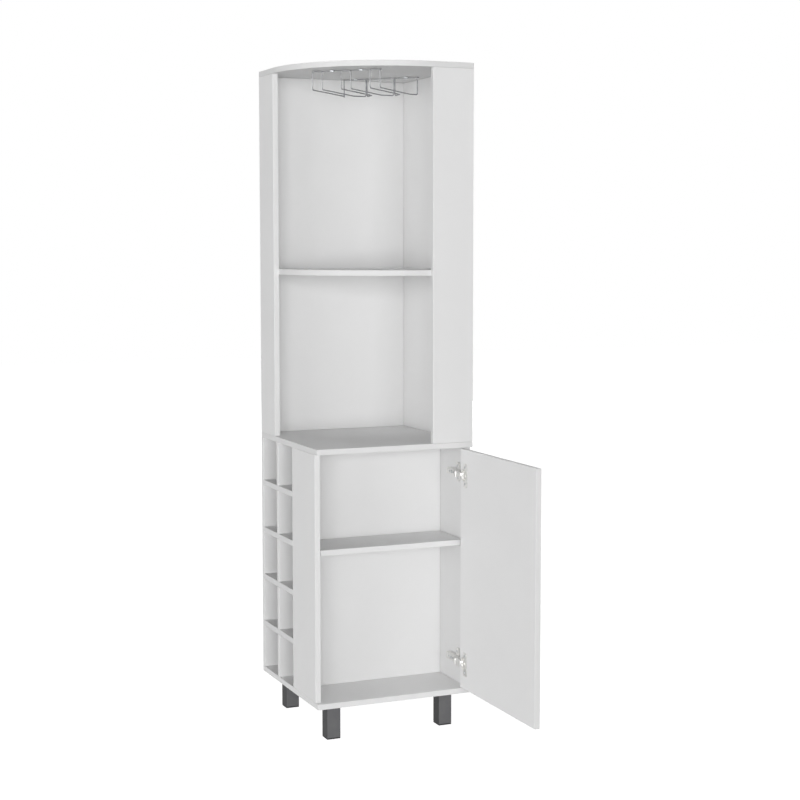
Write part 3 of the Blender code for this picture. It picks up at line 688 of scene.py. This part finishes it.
@dataclass
class Grower:
    """Geometry Nodes trees for what follows a path or repeats, and the way they are run."""

    seed: int = 7
    wire_sides: int = 20
    bend_steps: int = 8
    wire_sharp_turn: float = 40.0
    part_sides: int = 28
    part_sharp_turn: float = 38.0

    def socket(self, tree: NodeTree, name: str) -> str:
        """Find a tree's named input.

        Args:
            tree: The tree.
            name: The input's name.

        Returns:
            The identifier that a modifier knows the input by.
        """
        items = [item for item in tree.interface.items_tree if item.item_type == "SOCKET"]
        return next(i.identifier for i in items if i.name == name and i.in_out == "INPUT")

    def start(self, name: str, sizes: dict[str, str]) -> tuple[NodeTree, Node]:
        """Start a tree with a geometry input and named inputs.

        Args:
            name: The tree's name.
            sizes: Socket types by the inputs' names.

        Returns:
            The tree and its group input.
        """
        tree = bpy.data.node_groups.new(name, "GeometryNodeTree")
        face = tree.interface
        face.new_socket("Geometry", in_out="INPUT", socket_type="NodeSocketGeometry")
        for label, kind in sizes.items():
            face.new_socket(label, in_out="INPUT", socket_type=kind)
        face.new_socket("Geometry", in_out="OUTPUT", socket_type="NodeSocketGeometry")
        return tree, add_node(tree, "NodeGroupInput")

    def end(self, tree: NodeTree, shape: NodeSocket, given: Node) -> None:
        """Finish a tree: make instances real, give the finish and lead the shape out.

        Args:
            tree: The tree.
            shape: The socket that carries the shape.
            given: The tree's group input.
        """
        add = partial(add_node, tree)
        real = add("GeometryNodeRealizeInstances", {"Geometry": shape})
        dressed = add(
            "GeometryNodeSetMaterial",
            {"Geometry": real.outputs["Geometry"], "Material": given.outputs["Finish"]},
        )
        add("NodeGroupOutput", {"Geometry": dressed.outputs["Geometry"]})

    def wire_tree(self) -> NodeTree:
        """Build the tree that bends a round wire along a path of corners.

        Returns:
            The tree. Each corner's bending radius is the point attribute named bend.
        """
        made = bpy.data.node_groups.get("bent_wire")
        if made:
            return made
        tree, given = self.start(
            "bent_wire",
            {
                "Radius": "NodeSocketFloat",
                "Sides": "NodeSocketInt",
                "Bend Steps": "NodeSocketInt",
                "Finish": "NodeSocketMaterial",
            },
        )
        add = partial(add_node, tree)
        line = add("GeometryNodeMeshToCurve", {0: given.outputs["Geometry"]})
        bend = add("GeometryNodeInputNamedAttribute", {"Name": "bend"}, data_type="FLOAT")
        bent = add(
            "GeometryNodeFilletCurve",
            {
                "Curve": line.outputs["Curve"],
                "Count": given.outputs["Bend Steps"],
                "Radius": bend.outputs["Attribute"],
                "Limit Radius": True,
            },
            mode="POLY",
        )
        run = add("GeometryNodeSplineParameter")
        measured = add(
            "GeometryNodeStoreNamedAttribute",
            {"Geometry": bent.outputs["Curve"], "Name": "run", "Value": run.outputs["Length"]},
            data_type="FLOAT",
            domain="POINT",
        )
        circle = add(
            "GeometryNodeCurvePrimitiveCircle",
            {"Resolution": given.outputs["Sides"], "Radius": given.outputs["Radius"]},
        )
        section = add(
            "GeometryNodeStoreNamedAttribute",
            {
                "Geometry": circle.outputs["Curve"],
                "Name": "section",
                "Value": add("GeometryNodeInputPosition").outputs["Position"],
            },
            data_type="FLOAT_VECTOR",
            domain="POINT",
        )
        wire = add(
            "GeometryNodeCurveToMesh",
            {
                "Curve": measured.outputs["Geometry"],
                "Profile Curve": section.outputs["Geometry"],
                "Fill Caps": True,
            },
        )
        length = add("GeometryNodeInputNamedAttribute", {"Name": "run"}, data_type="FLOAT")
        across = add(
            "GeometryNodeInputNamedAttribute", {"Name": "section"}, data_type="FLOAT_VECTOR"
        )
        parts = add("ShaderNodeSeparateXYZ", {"Vector": across.outputs["Attribute"]})
        unbent = add(
            "ShaderNodeCombineXYZ",
            {"X": length.outputs["Attribute"], "Y": parts.outputs["X"], "Z": parts.outputs["Y"]},
        )
        marked = add(
            "GeometryNodeStoreNamedAttribute",
            {"Geometry": wire.outputs["Mesh"], "Name": UNBENT, "Value": unbent.outputs["Vector"]},
            data_type="FLOAT_VECTOR",
            domain="POINT",
        )
        self.end(tree, marked.outputs["Geometry"], given)
        return tree

    def scatter_tree(self) -> NodeTree:
        """Build the tree that sets a small part on each point of a guide.

        Returns:
            The tree. Each point carries its direction and size as the attributes facing and size.
        """
        made = bpy.data.node_groups.get("fastener_set")
        if made:
            return made
        tree, given = self.start(
            "fastener_set",
            {
                "Template": "NodeSocketObject",
                "Seed": "NodeSocketInt",
                "Turn": "NodeSocketFloat",
                "Finish": "NodeSocketMaterial",
            },
        )
        add = partial(add_node, tree)
        template = add("GeometryNodeObjectInfo", {"Object": given.outputs["Template"]})
        facing = add(
            "GeometryNodeInputNamedAttribute", {"Name": "facing"}, data_type="FLOAT_VECTOR"
        )
        size = add("GeometryNodeInputNamedAttribute", {"Name": "size"}, data_type="FLOAT")
        aimed = add(
            "FunctionNodeAlignRotationToVector", {"Vector": facing.outputs["Attribute"]}, axis="Z"
        )
        chance = add(
            "FunctionNodeRandomValue",
            {2: 0.0, 3: given.outputs["Turn"], "Seed": given.outputs["Seed"]},
            data_type="FLOAT",
        )
        spin = add("ShaderNodeCombineXYZ", {"Z": chance.outputs[1]})
        turn = add("FunctionNodeEulerToRotation", {"Euler": spin.outputs["Vector"]})
        turned = add(
            "FunctionNodeRotateRotation",
            {"Rotation": aimed.outputs["Rotation"], "Rotate By": turn.outputs["Rotation"]},
            rotation_space="LOCAL",
        )
        placed = add(
            "GeometryNodeInstanceOnPoints",
            {
                "Points": given.outputs["Geometry"],
                "Instance": template.outputs["Geometry"],
                "Rotation": turned.outputs["Rotation"],
                "Scale": size.outputs["Attribute"],
            },
        )
        self.end(tree, placed.outputs["Instances"], given)
        return tree

    def run(self, guide: Mesh, tree: NodeTree, values: dict[str, object]) -> Mesh:
        """Run a tree on a guide and return the plain mesh it makes.

        Args:
            guide: The path or points that the tree works on.
            tree: The tree.
            values: What its named inputs are set to.

        Returns:
            The real mesh.
        """
        holder = add_object("guide", guide)
        modifier = holder.modifiers.new("grow", "NODES")
        modifier.node_group = tree
        for name, value in values.items():
            modifier[self.socket(tree, name)] = value
        mesh = settle(holder)
        discard(holder)
        return mesh

    def wire(
        self, corners: list[Vector], bends: list[float], radius: float, finish: Finish
    ) -> Mesh:
        """Bend a wire along corners.

        Args:
            corners: The path's corners, in place.
            bends: The bending radius at each of them.
            radius: The wire's radius.
            finish: The wire's finish.

        Returns:
            The wire's mesh.
        """
        guide = bpy.data.meshes.new("wire_path")
        edges = [(index, index + 1) for index in range(len(corners) - 1)]
        guide.from_pydata(corners, edges, [])
        guide.attributes.new("bend", "FLOAT", "POINT").data.foreach_set("value", bends)
        values = {
            "Radius": radius,
            "Sides": self.wire_sides,
            "Bend Steps": self.bend_steps,
            "Finish": finish.material(),
        }
        mesh = self.run(guide, self.wire_tree(), values)
        mesh.shade_smooth()
        mesh.set_sharp_from_angle(angle=math.radians(self.wire_sharp_turn))
        return mesh

    def fasteners(self, kind: Fastener, spots: list[Spot], finish: Finish) -> Mesh:
        """Set one kind of small part on a list of spots, each turned at random about its axis.

        Args:
            kind: The part.
            spots: Place, direction and head radius of each.
            finish: The finish of all of them.

        Returns:
            One mesh that holds them all.
        """
        guide = bpy.data.meshes.new("spots")
        guide.from_pydata([place for place, _, _ in spots], [], [])
        facing = [part for _, direction, _ in spots for part in direction]
        guide.attributes.new("facing", "FLOAT_VECTOR", "POINT").data.foreach_set("vector", facing)
        sizes = [size for _, _, size in spots]
        guide.attributes.new("size", "FLOAT", "POINT").data.foreach_set("value", sizes)
        template = kind.template(self.part_sides, self.part_sharp_turn)
        values = {
            "Template": template, "Seed": self.seed, "Turn": math.tau, "Finish": finish.material()
        }
        mesh = self.run(guide, self.scatter_tree(), values)
        discard(template)
        return mesh


@dataclass
class Boards:
    """All the melamine boards of the cabinet and its door."""

    lying: tuple[str, ...] = (
        "counter_top",
        "compartment_shelf",
        "cubby_shelf_1",
        "cubby_shelf_2",
        "cubby_shelf_3",
        "cubby_shelf_4",
    )
    facing_side: tuple[str, ...] = (
        "upper_side_panel", "left_wing_panel", "left_side_panel", "right_side_panel"
    )
    facing_front: tuple[str, ...] = ("upper_back_panel", "front_wing_panel", "partition_panel")
    top: tuple[str, ...] = ("top_panel",)
    middle_shelf: tuple[str, ...] = ("middle_shelf",)
    cubby_walls: tuple[str, ...] = ("lower_back_panel", "cubby_divider")
    bottom: tuple[str, ...] = ("bottom_panel",)
    door: tuple[str, ...] = ("door_panel",)

    def dress(self) -> None:
        """Give each board its melamine finish, whose axis is the board's thickness."""
        groups = {
            LYING_FINISH: self.lying,
            SIDE_FINISH: self.facing_side,
            FRONT_FINISH: self.facing_front,
            TOP_PAINTED_SHADE_FINISH: self.top,
            SHELF_FINISH: self.middle_shelf,
            CUBBY_PAINTED_LIGHT_FINISH: self.cubby_walls,
            BOTTOM_PAINTED_LIGHT_FINISH: self.bottom,
            DOOR_PAINTED_LIGHT_FINISH: self.door,
        }
        for finish, names in groups.items():
            for name in names:
                paint(name, finish)


@dataclass
class Feet:
    """The four square posts with their felt glide pads and hanger bolts."""

    corners: tuple[str, ...] = ("front_left", "front_right", "back_left", "back_right")
    post_rounding: float = 0.9 * MM
    hole_gap: float = 0.4 * MM
    hole_sides: int = 32
    pad_overlap: float = 1.8 * MM
    pad_rounding: float = 0.5 * MM
    rounding_steps: int = 3
    corner_turn: float = 60.0

    def build(self) -> None:
        """Build the posts and pads over their nodes, and paint the bolts inside them."""
        for corner in self.corners:
            self.build_post(corner)
            self.build_pad(corner)
            paint(f"foot_bolt_{corner}", ZINC_FINISH)

    def build_post(self, corner: str) -> None:
        """Build one post with finely rounded edges and the hole for its bolt.

        Args:
            corner: The corner that it stands at.
        """
        low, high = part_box(f"foot_{corner}")
        bolt_low, bolt_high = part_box(f"foot_bolt_{corner}")
        post = working(cuboid(low, high), "post")
        radius = (bolt_high.x - bolt_low.x) / 2 + self.hole_gap
        profile = [
            (0.0, bolt_low.z - self.hole_gap),
            (radius, bolt_low.z - self.hole_gap),
            (radius, bolt_high.z),
            (0.0, bolt_high.z),
        ]
        bm = lathe(profile, self.hole_sides)
        middle = (bolt_low + bolt_high) / 2
        bmesh.ops.translate(bm, verts=bm.verts, vec=(middle.x, middle.y, 0.0))
        drill = working(bm, "drill")
        cut_out(post, drill)
        round_edges(post, self.post_rounding, self.rounding_steps, self.corner_turn)
        mesh = settle(post)
        discard(post, drill)
        add_piece(f"post_{corner}", mesh, FOOT_FINISH, "cabinet", (f"foot_{corner}",))

    def build_pad(self, corner: str) -> None:
        """Build one felt pad, a little smaller than the post and soft at its edges.

        Args:
            corner: The corner that it lies under.
        """
        low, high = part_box(f"glide_{corner}")
        wider = Vector((self.pad_overlap, self.pad_overlap, 0.0))
        pad = working(cuboid(low - wider, high + wider), "pad")
        round_edges(pad, self.pad_rounding, self.rounding_steps, self.corner_turn)
        mesh = settle(pad)
        discard(pad)
        name = f"felt_pad_{corner}"
        add_piece(name, mesh, FELT_FINISH, "cabinet", (f"glide_{corner}",))


@dataclass
class GlassRack:
    """The wire channels, hanging bars and clips under the top board.

    It is laid out on the bay's diagonal: X runs from the front left towards the inner back right
    corner, where the rack's own frame has its origin.
    """

    channels: int = 3
    turn: float = math.radians(45.0)
    wire_radius: float = 1.5 * MM
    pitch: float = 84 * MM
    rail_spacing: float = 28.6 * MM
    from_corner: float = 162.2 * MM
    length: float = 241 * MM
    flare_length: float = 28 * MM
    leg_spread: float = 54 * MM
    drop: float = 48.2 * MM
    shift: float = 6 * MM
    bend: float = 6 * MM
    flare_bend: float = 10 * MM
    gap: float = 0.3 * MM
    bar_overhang: float = 3 * MM
    clip_rounding: float = 0.22 * MM
    clip_screw: float = 2.3 * MM
    clip_screw_reach: float = 7.2 * MM
    clip_thickness: float = 1.0 * MM
    weld_size: float = 1.25 * MM
    clips: tuple[str, ...] = (
        "rack_clip_front_left",
        "rack_clip_front_right",
        "rack_clip_rear_left",
        "rack_clip_rear_right",
    )
    diagonal: Matrix = field(init=False)
    ceiling: float = field(init=False)
    cross: float = field(init=False)
    rail: float = field(init=False)
    rear: float = field(init=False)
    nose: float = field(init=False)
    beside: float = field(init=False)

    def __post_init__(self) -> None:
        """Find the rack's frame and its levels from the boards around it."""
        side_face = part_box("upper_side_panel")[0].x
        back_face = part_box("upper_back_panel")[0].y
        corner = Matrix.Translation((side_face, back_face, 0.0))
        self.diagonal = corner @ Matrix.Rotation(self.turn, 4, "Z")
        self.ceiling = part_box("top_panel")[0].z
        self.cross = self.ceiling - 2 * self.wire_radius
        self.rail = self.cross - self.drop
        self.rear = -self.from_corner
        self.nose = self.rear - self.length
        self.beside = 2 * self.wire_radius + self.gap

    def build(self, grower: Grower) -> None:
        """Build every piece of the rack.

        Args:
            grower: Runs the trees that bend wires and set small parts.
        """
        for index in range(self.channels):
            corners, bends = self.channel(index)
            mesh = grower.wire(corners, bends, self.wire_radius, WIRE_FINISH)
            self.add(f"wire_channel_{index + 1}", mesh, WIRE_FINISH, f"rack_wire_{index + 1}")
        for end in ("front", "rear"):
            mesh = grower.wire(self.bar(end), [0.0, 0.0], self.wire_radius, WIRE_FINISH)
            self.add(f"hanging_bar_{end}", mesh, WIRE_FINISH, f"rack_{end}_bar")
        for name in self.clips:
            self.add(f"{name}_strap", soft_copy(name, self.clip_rounding), ZINC_FINISH, name)
        screws = grower.fasteners(Fastener.CROSS_SCREW, self.screw_spots(), ZINC_FINISH)
        self.add("rack_clip_screws", screws, ZINC_FINISH)
        welds = grower.fasteners(Fastener.WELD, self.weld_spots(), ZINC_FINISH)
        self.add("rack_welds", welds, ZINC_FINISH)

    def add(self, name: str, mesh: Mesh, finish: Finish, *nodes: str) -> None:
        """Add one piece of the rack, which stands still on the cabinet."""
        add_piece(name, mesh, finish, "cabinet", nodes)

    def legs(self, index: int) -> tuple[float, float, float]:
        """Place a channel across the rack.

        Args:
            index: The channel's number, from the left.

        Returns:
            The channel's centre and the places of its two rear legs.
        """
        last = self.channels - 1
        centre = self.shift - (index - last / 2) * self.pitch
        half_pair = self.wire_radius + self.gap / 2
        places = []
        for side, is_outside in ((1.0, index == 0), (-1.0, index == last)):
            inner = centre + side * (self.pitch / 2 - half_pair)
            places.append(centre + side * self.leg_spread / 2 if is_outside else inner)
        return centre, places[0], places[1]

    def channel(self, index: int) -> tuple[list[Vector], list[float]]:
        """Return the corners and bends of one channel's wire.

        Args:
            index: The channel's number, from the left.

        Returns:
            The corners in place and the bending radius at each.
        """
        centre, left_leg, right_leg = self.legs(index)
        half = self.rail_spacing / 2
        flare_start = self.rear - self.flare_length
        wire_top = self.ceiling - self.wire_radius
        left = [
            (self.rear, left_leg, wire_top),
            (self.rear, left_leg, self.rail),
            (flare_start, centre + half, self.rail),
            (self.nose, centre + half, self.rail),
            (self.nose, centre + half, self.cross),
        ]
        right = [
            (self.nose, centre - half, self.cross),
            (self.nose, centre - half, self.rail),
            (flare_start, centre - half, self.rail),
            (self.rear, right_leg, self.rail),
            (self.rear, right_leg, wire_top),
        ]
        corners = [self.diagonal @ Vector(corner) for corner in left + right]
        half_bends = [0.0, self.bend, self.flare_bend, self.bend, self.bend]
        return corners, half_bends + half_bends[::-1]

    def bar(self, end: str) -> list[Vector]:
        """Return the two ends of a hanging bar.

        Args:
            end: front or rear.

        Returns:
            The bar's ends in place.
        """
        if end == "front":
            x, reach = self.nose + self.beside, self.pitch + self.rail_spacing / 2
        else:
            x, reach = self.rear + self.beside, self.pitch + self.leg_spread / 2
        reach += self.bar_overhang
        ends = (self.shift - reach, self.shift + reach)
        return [self.diagonal @ Vector((x, y, self.cross)) for y in ends]

    def screw_spots(self) -> list[Spot]:
        """Place the screws through the clips' tabs, heads down.

        Returns:
            Their spots.
        """
        spots = []
        for name in self.clips:
            low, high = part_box(name)
            middle = (low + high) / 2
            middle.z = self.ceiling - self.gap - self.clip_thickness
            for side in (1.0, -1.0):
                away = self.diagonal.to_3x3() @ Vector((side * self.clip_screw_reach, 0.0, 0.0))
                spots.append((middle + away, Vector((0.0, 0.0, -1.0)), self.clip_screw))
        return spots

    def weld_spots(self) -> list[Spot]:
        """Place the weld beads between the wires and the hanging bars.

        Returns:
            Their spots.
        """
        along = self.diagonal.to_3x3() @ Vector((0.0, 1.0, 0.0))
        spots = []
        for index in range(self.channels):
            centre, left_leg, right_leg = self.legs(index)
            half = self.rail_spacing / 2 - self.bend
            front = [(self.nose + self.beside / 2, centre + side * half) for side in (1, -1)]
            rear = [(self.rear + self.beside / 2, leg) for leg in (left_leg, right_leg)]
            for x, y in front + rear:
                spots.append((self.diagonal @ Vector((x, y, self.cross)), along, self.weld_size))
        return spots


@dataclass
class Hinge:
    """A concealed hinge with its screws and rivets, built over its nodes."""

    name: str
    grower: Grower
    edge: float = 0.25 * MM
    cup_edge: float = 0.16 * MM
    cup_screw: float = 3.3 * MM
    arm_screw: float = 3.8 * MM
    adjusting_screw: float = 2.7 * MM
    wing_screw: float = 3.2 * MM
    nose_radius: float = 2.6 * MM
    plate_from_pin: float = 34.2 * MM
    wing_thickness: float = 4.7 * MM
    wing_screw_offset: float = 17.0 * MM
    front_adjuster_ahead: float = 11.5 * MM
    rear_adjuster_behind: float = 14.0 * MM
    rivet: float = 1.9 * MM

    def build(self) -> None:
        """Build the pressed parts, then the screws and rivets."""
        bodies = {"arm": "cabinet", "plate": "cabinet", "link": "hinge_links", "cup": "door"}
        for part, body in bodies.items():
            node = f"{self.name}_{part}"
            mesh = soft_copy(node, self.cup_edge if part == "cup" else self.edge)
            add_piece(f"{self.name}_pressed_{part}", mesh, NICKEL_FINISH, body, (node,))
        self.build_cup_screws()
        self.build_arm_screws()
        self.build_rivets()

    def head_spot(self, node: str, radius: float) -> Spot:
        """Place a screw whose head looks to the left, from its node's box.

        Args:
            node: The screw's node.
            radius: The radius of its head.

        Returns:
            The screw's spot.
        """
        low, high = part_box(node)
        middle = (low + high) / 2
        middle.x = low.x + radius * Fastener.CROSS_SCREW.height
        return middle, Vector((-1.0, 0.0, 0.0)), radius

    def build_cup_screws(self) -> None:
        """Build the two screws through the cup's flange."""
        nodes = (f"{self.name}_cup_screw_low", f"{self.name}_cup_screw_high")
        spots = [self.head_spot(node, self.cup_screw) for node in nodes]
        self.add("flange_screws", Fastener.CROSS_SCREW, spots, "door", *nodes)

    def build_arm_screws(self) -> None:
        """Build the arm's clamping and adjusting screws and the plate's two board screws."""
        node = f"{self.name}_arm_screw"
        clamp, left, _ = self.head_spot(node, self.arm_screw)
        arm_low, arm_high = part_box(f"{self.name}_arm")
        plate_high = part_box(f"{self.name}_plate")[1]
        ahead = Vector((0.0, -self.front_adjuster_ahead, 0.0))
        behind = Vector((0.0, self.rear_adjuster_behind, 0.0))
        spots = [
            (clamp, left, self.arm_screw),
            (clamp + ahead, left, self.adjusting_screw),
            (clamp + behind, left, self.adjusting_screw),
        ]
        wing_y = arm_low.y + self.nose_radius + self.plate_from_pin
        wing_x = plate_high.x - self.wing_thickness
        for side in (1.0, -1.0):
            wing_z = (arm_low.z + arm_high.z) / 2 + side * self.wing_screw_offset
            spots.append((Vector((wing_x, wing_y, wing_z)), left, self.wing_screw))
        self.add("arm_screws", Fastener.CROSS_SCREW, spots, "cabinet", node)

    def build_rivets(self) -> None:
        """Build the riveted ends of the pin in the arm's nose."""
        low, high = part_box(f"{self.name}_arm")
        x, y = low.x + self.nose_radius, low.y + self.nose_radius
        up = Vector((0.0, 0.0, 1.0))
        spots = [(Vector((x, y, high.z)), up, self.rivet), (Vector((x, y, low.z)), -up, self.rivet)]
        self.add("rivets", Fastener.RIVET, spots, "cabinet")

    def add(self, name: str, kind: Fastener, spots: list[Spot], body: str, *nodes: str) -> None:
        """Add one set of the hinge's small parts."""
        mesh = self.grower.fasteners(kind, spots, ZINC_FINISH)
        add_piece(f"{self.name}_{name}", mesh, ZINC_FINISH, body, nodes)


@dataclass
class ShelfPins:
    """The four collared pins that carry the shelf behind the door."""

    radius: float = 2.5 * MM
    reach: float = 8.0 * MM
    left: tuple[str, ...] = ("shelf_pin_left_front", "shelf_pin_left_back")
    right: tuple[str, ...] = ("shelf_pin_right_front", "shelf_pin_right_back")

    def build(self, grower: Grower) -> None:
        """Build all four over their nodes.

        Args:
            grower: Runs the tree that sets small parts.
        """
        spots = []
        for names, side in ((self.left, 1.0), (self.right, -1.0)):
            for name in names:
                low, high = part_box(name)
                place = (low + high) / 2
                tip = high.x if side > 0 else low.x
                place.x = tip - side * self.reach
                spots.append((place, Vector((side, 0.0, 0.0)), self.radius))
        mesh = grower.fasteners(Fastener.SHELF_PIN, spots, ZINC_FINISH)
        add_piece("shelf_pins", mesh, ZINC_FINISH, "cabinet", self.left + self.right)


@dataclass(frozen=True)
class Softbox:
    """A softbox on a circle round the cabinet or straight above it, aimed at its middle."""

    name: str
    azimuth: float
    power: float
    height: float = 0.9
    distance: float = 9.0
    width: float = 6.5
    tall: float = 4.0

    def build(self, aim: Vector) -> None:
        """Hang the softbox.

        Args:
            aim: The point that it faces.
        """
        angle = math.radians(self.azimuth)
        data = bpy.data.lights.new(self.name, "AREA")
        data.shape = "RECTANGLE"
        data.size = self.width
        data.size_y = self.tall
        data.energy = self.power
        lamp = add_object(self.name, data)
        across, along = math.sin(angle), math.cos(angle)
        lamp.location = (-self.distance * across, -self.distance * along, self.height)
        lamp.rotation_mode = "QUATERNION"
        lamp.rotation_quaternion = (aim - lamp.location).to_track_quat("-Z", "Y")


@dataclass
class Studio:
    """Camera, floor, world and lamps."""

    camera_place: tuple[float, float, float] = (-1.70656, -4.006183, 1.32496)
    camera_yaw: float = math.radians(23.473)
    camera_pitch: float = math.radians(-5.055)
    focal_pixels: float = 1649.74
    principal_point: tuple[float, float] = (406.34, 388.47)
    picture_size: float = 800.0
    sensor_width: float = 36.0
    clip: tuple[float, float] = (0.1, 60.0)
    floor_half: float = 14.0
    floor_glow: float = 0.91
    floor_shade: float = 0.45
    floor_paper: str = "#f2f2f2"
    ambient: float = 0.23
    aim: tuple[float, float, float] = (0.0, 0.0, 0.9)
    lamps: tuple[Softbox, ...] = (
        Softbox("front_softbox", 19.0, 612.0),
        Softbox("left_softbox", 71.0, 318.0),
        Softbox("rear_softbox", -135.0, 430.0),
        Softbox("top_softbox", 0.0, 7.5, height=3.4, distance=0.0, width=0.6, tall=0.6),
    )

    def build(self) -> None:
        """Set up the whole studio."""
        scene = bpy.context.scene
        scene.view_settings.view_transform = "Standard"
        self.build_camera(scene)
        self.build_world(scene)
        self.build_floor()
        for lamp in self.lamps:
            lamp.build(Vector(self.aim))

    def build_camera(self, scene: Scene) -> None:
        """Place the camera at the photograph's viewing angle.

        Args:
            scene: The scene that takes the camera.
        """
        data = bpy.data.cameras.new("camera")
        data.sensor_width = self.sensor_width
        data.lens = self.sensor_width * self.focal_pixels / self.picture_size
        middle = self.picture_size / 2
        data.shift_x = (middle - self.principal_point[0]) / self.picture_size
        data.shift_y = (self.principal_point[1] - middle) / self.picture_size
        data.clip_start, data.clip_end = self.clip
        camera = add_object("camera", data)
        camera.location = self.camera_place
        camera.rotation_euler = (math.pi / 2 + self.camera_pitch, 0.0, -self.camera_yaw)
        scene.camera = camera

    def backdrop_share(self, add: Adder) -> NodeSocket:
        """Tell whether the camera, gloss or glass looks straight at the backdrop.

        Args:
            add: Adds a node to the tree.

        Returns:
            The socket that is one where they do and zero elsewhere.
        """
        path = add("ShaderNodeLightPath")
        direct = add(
            "ShaderNodeMath",
            {0: path.outputs["Is Camera Ray"], 1: path.outputs["Is Transmission Ray"]},
            operation="MAXIMUM",
        )
        either = add(
            "ShaderNodeMath",
            {0: direct.outputs[0], 1: path.outputs["Is Glossy Ray"]},
            operation="MAXIMUM",
        )
        return either.outputs[0]

    def build_world(self, scene: Scene) -> None:
        """Make a world that looks white and lights the object at a plain level.

        Args:
            scene: The scene that takes the world.
        """
        world = bpy.data.worlds.new("studio")
        world.use_nodes = True
        world.node_tree.nodes.clear()
        add = partial(add_node, world.node_tree)
        level = add(
            "ShaderNodeMapRange",
            {"Value": self.backdrop_share(add), "To Min": self.ambient, "To Max": 1.0},
        )
        shader = add(
            "ShaderNodeBackground",
            {"Color": linear("#ffffff"), "Strength": level.outputs["Result"]},
        )
        add("ShaderNodeOutputWorld", {"Surface": shader.outputs[0]})
        scene.world = world

    def build_floor(self) -> None:
        """Lay a white floor that keeps the cabinet's faint shadow."""
        bm = bmesh.new()
        bmesh.ops.create_grid(bm, x_segments=1, y_segments=1, size=self.floor_half)
        mesh = bpy.data.meshes.new("floor")
        bm.to_mesh(mesh)
        bm.free()
        material = bpy.data.materials.new("white_paper_sweep")
        material.use_nodes = True
        material.node_tree.nodes.clear()
        add = partial(add_node, material.node_tree)
        paper = add("ShaderNodeBsdfDiffuse", {"Color": linear(self.floor_paper)})
        glow = add("ShaderNodeEmission", {"Color": linear("#ffffff"), "Strength": self.floor_glow})
        shade = add("ShaderNodeBsdfDiffuse", {"Color": (*(self.floor_shade,) * 3, 1.0)})
        both = add("ShaderNodeAddShader", {0: glow.outputs[0], 1: shade.outputs[0]})
        mix = add(
            "ShaderNodeMixShader",
            {"Fac": self.backdrop_share(add), 1: paper.outputs[0], 2: both.outputs[0]},
        )
        add("ShaderNodeOutputMaterial", {"Surface": mix.outputs[0]})
        mesh.materials.append(material)
        add_object("floor", mesh)


def main() -> None:
    """Build the sub-assemblies in order, then the studio."""
    logging.basicConfig(level=logging.INFO, format="%(message)s")
    grower = Grower()
    Boards().dress()
    Feet().build()
    GlassRack().build(grower)
    for name in ("hinge_lower", "hinge_upper"):
        Hinge(name, grower).build()
    ShelfPins().build(grower)
    Studio().build()


if __name__ == "__main__":
    main()
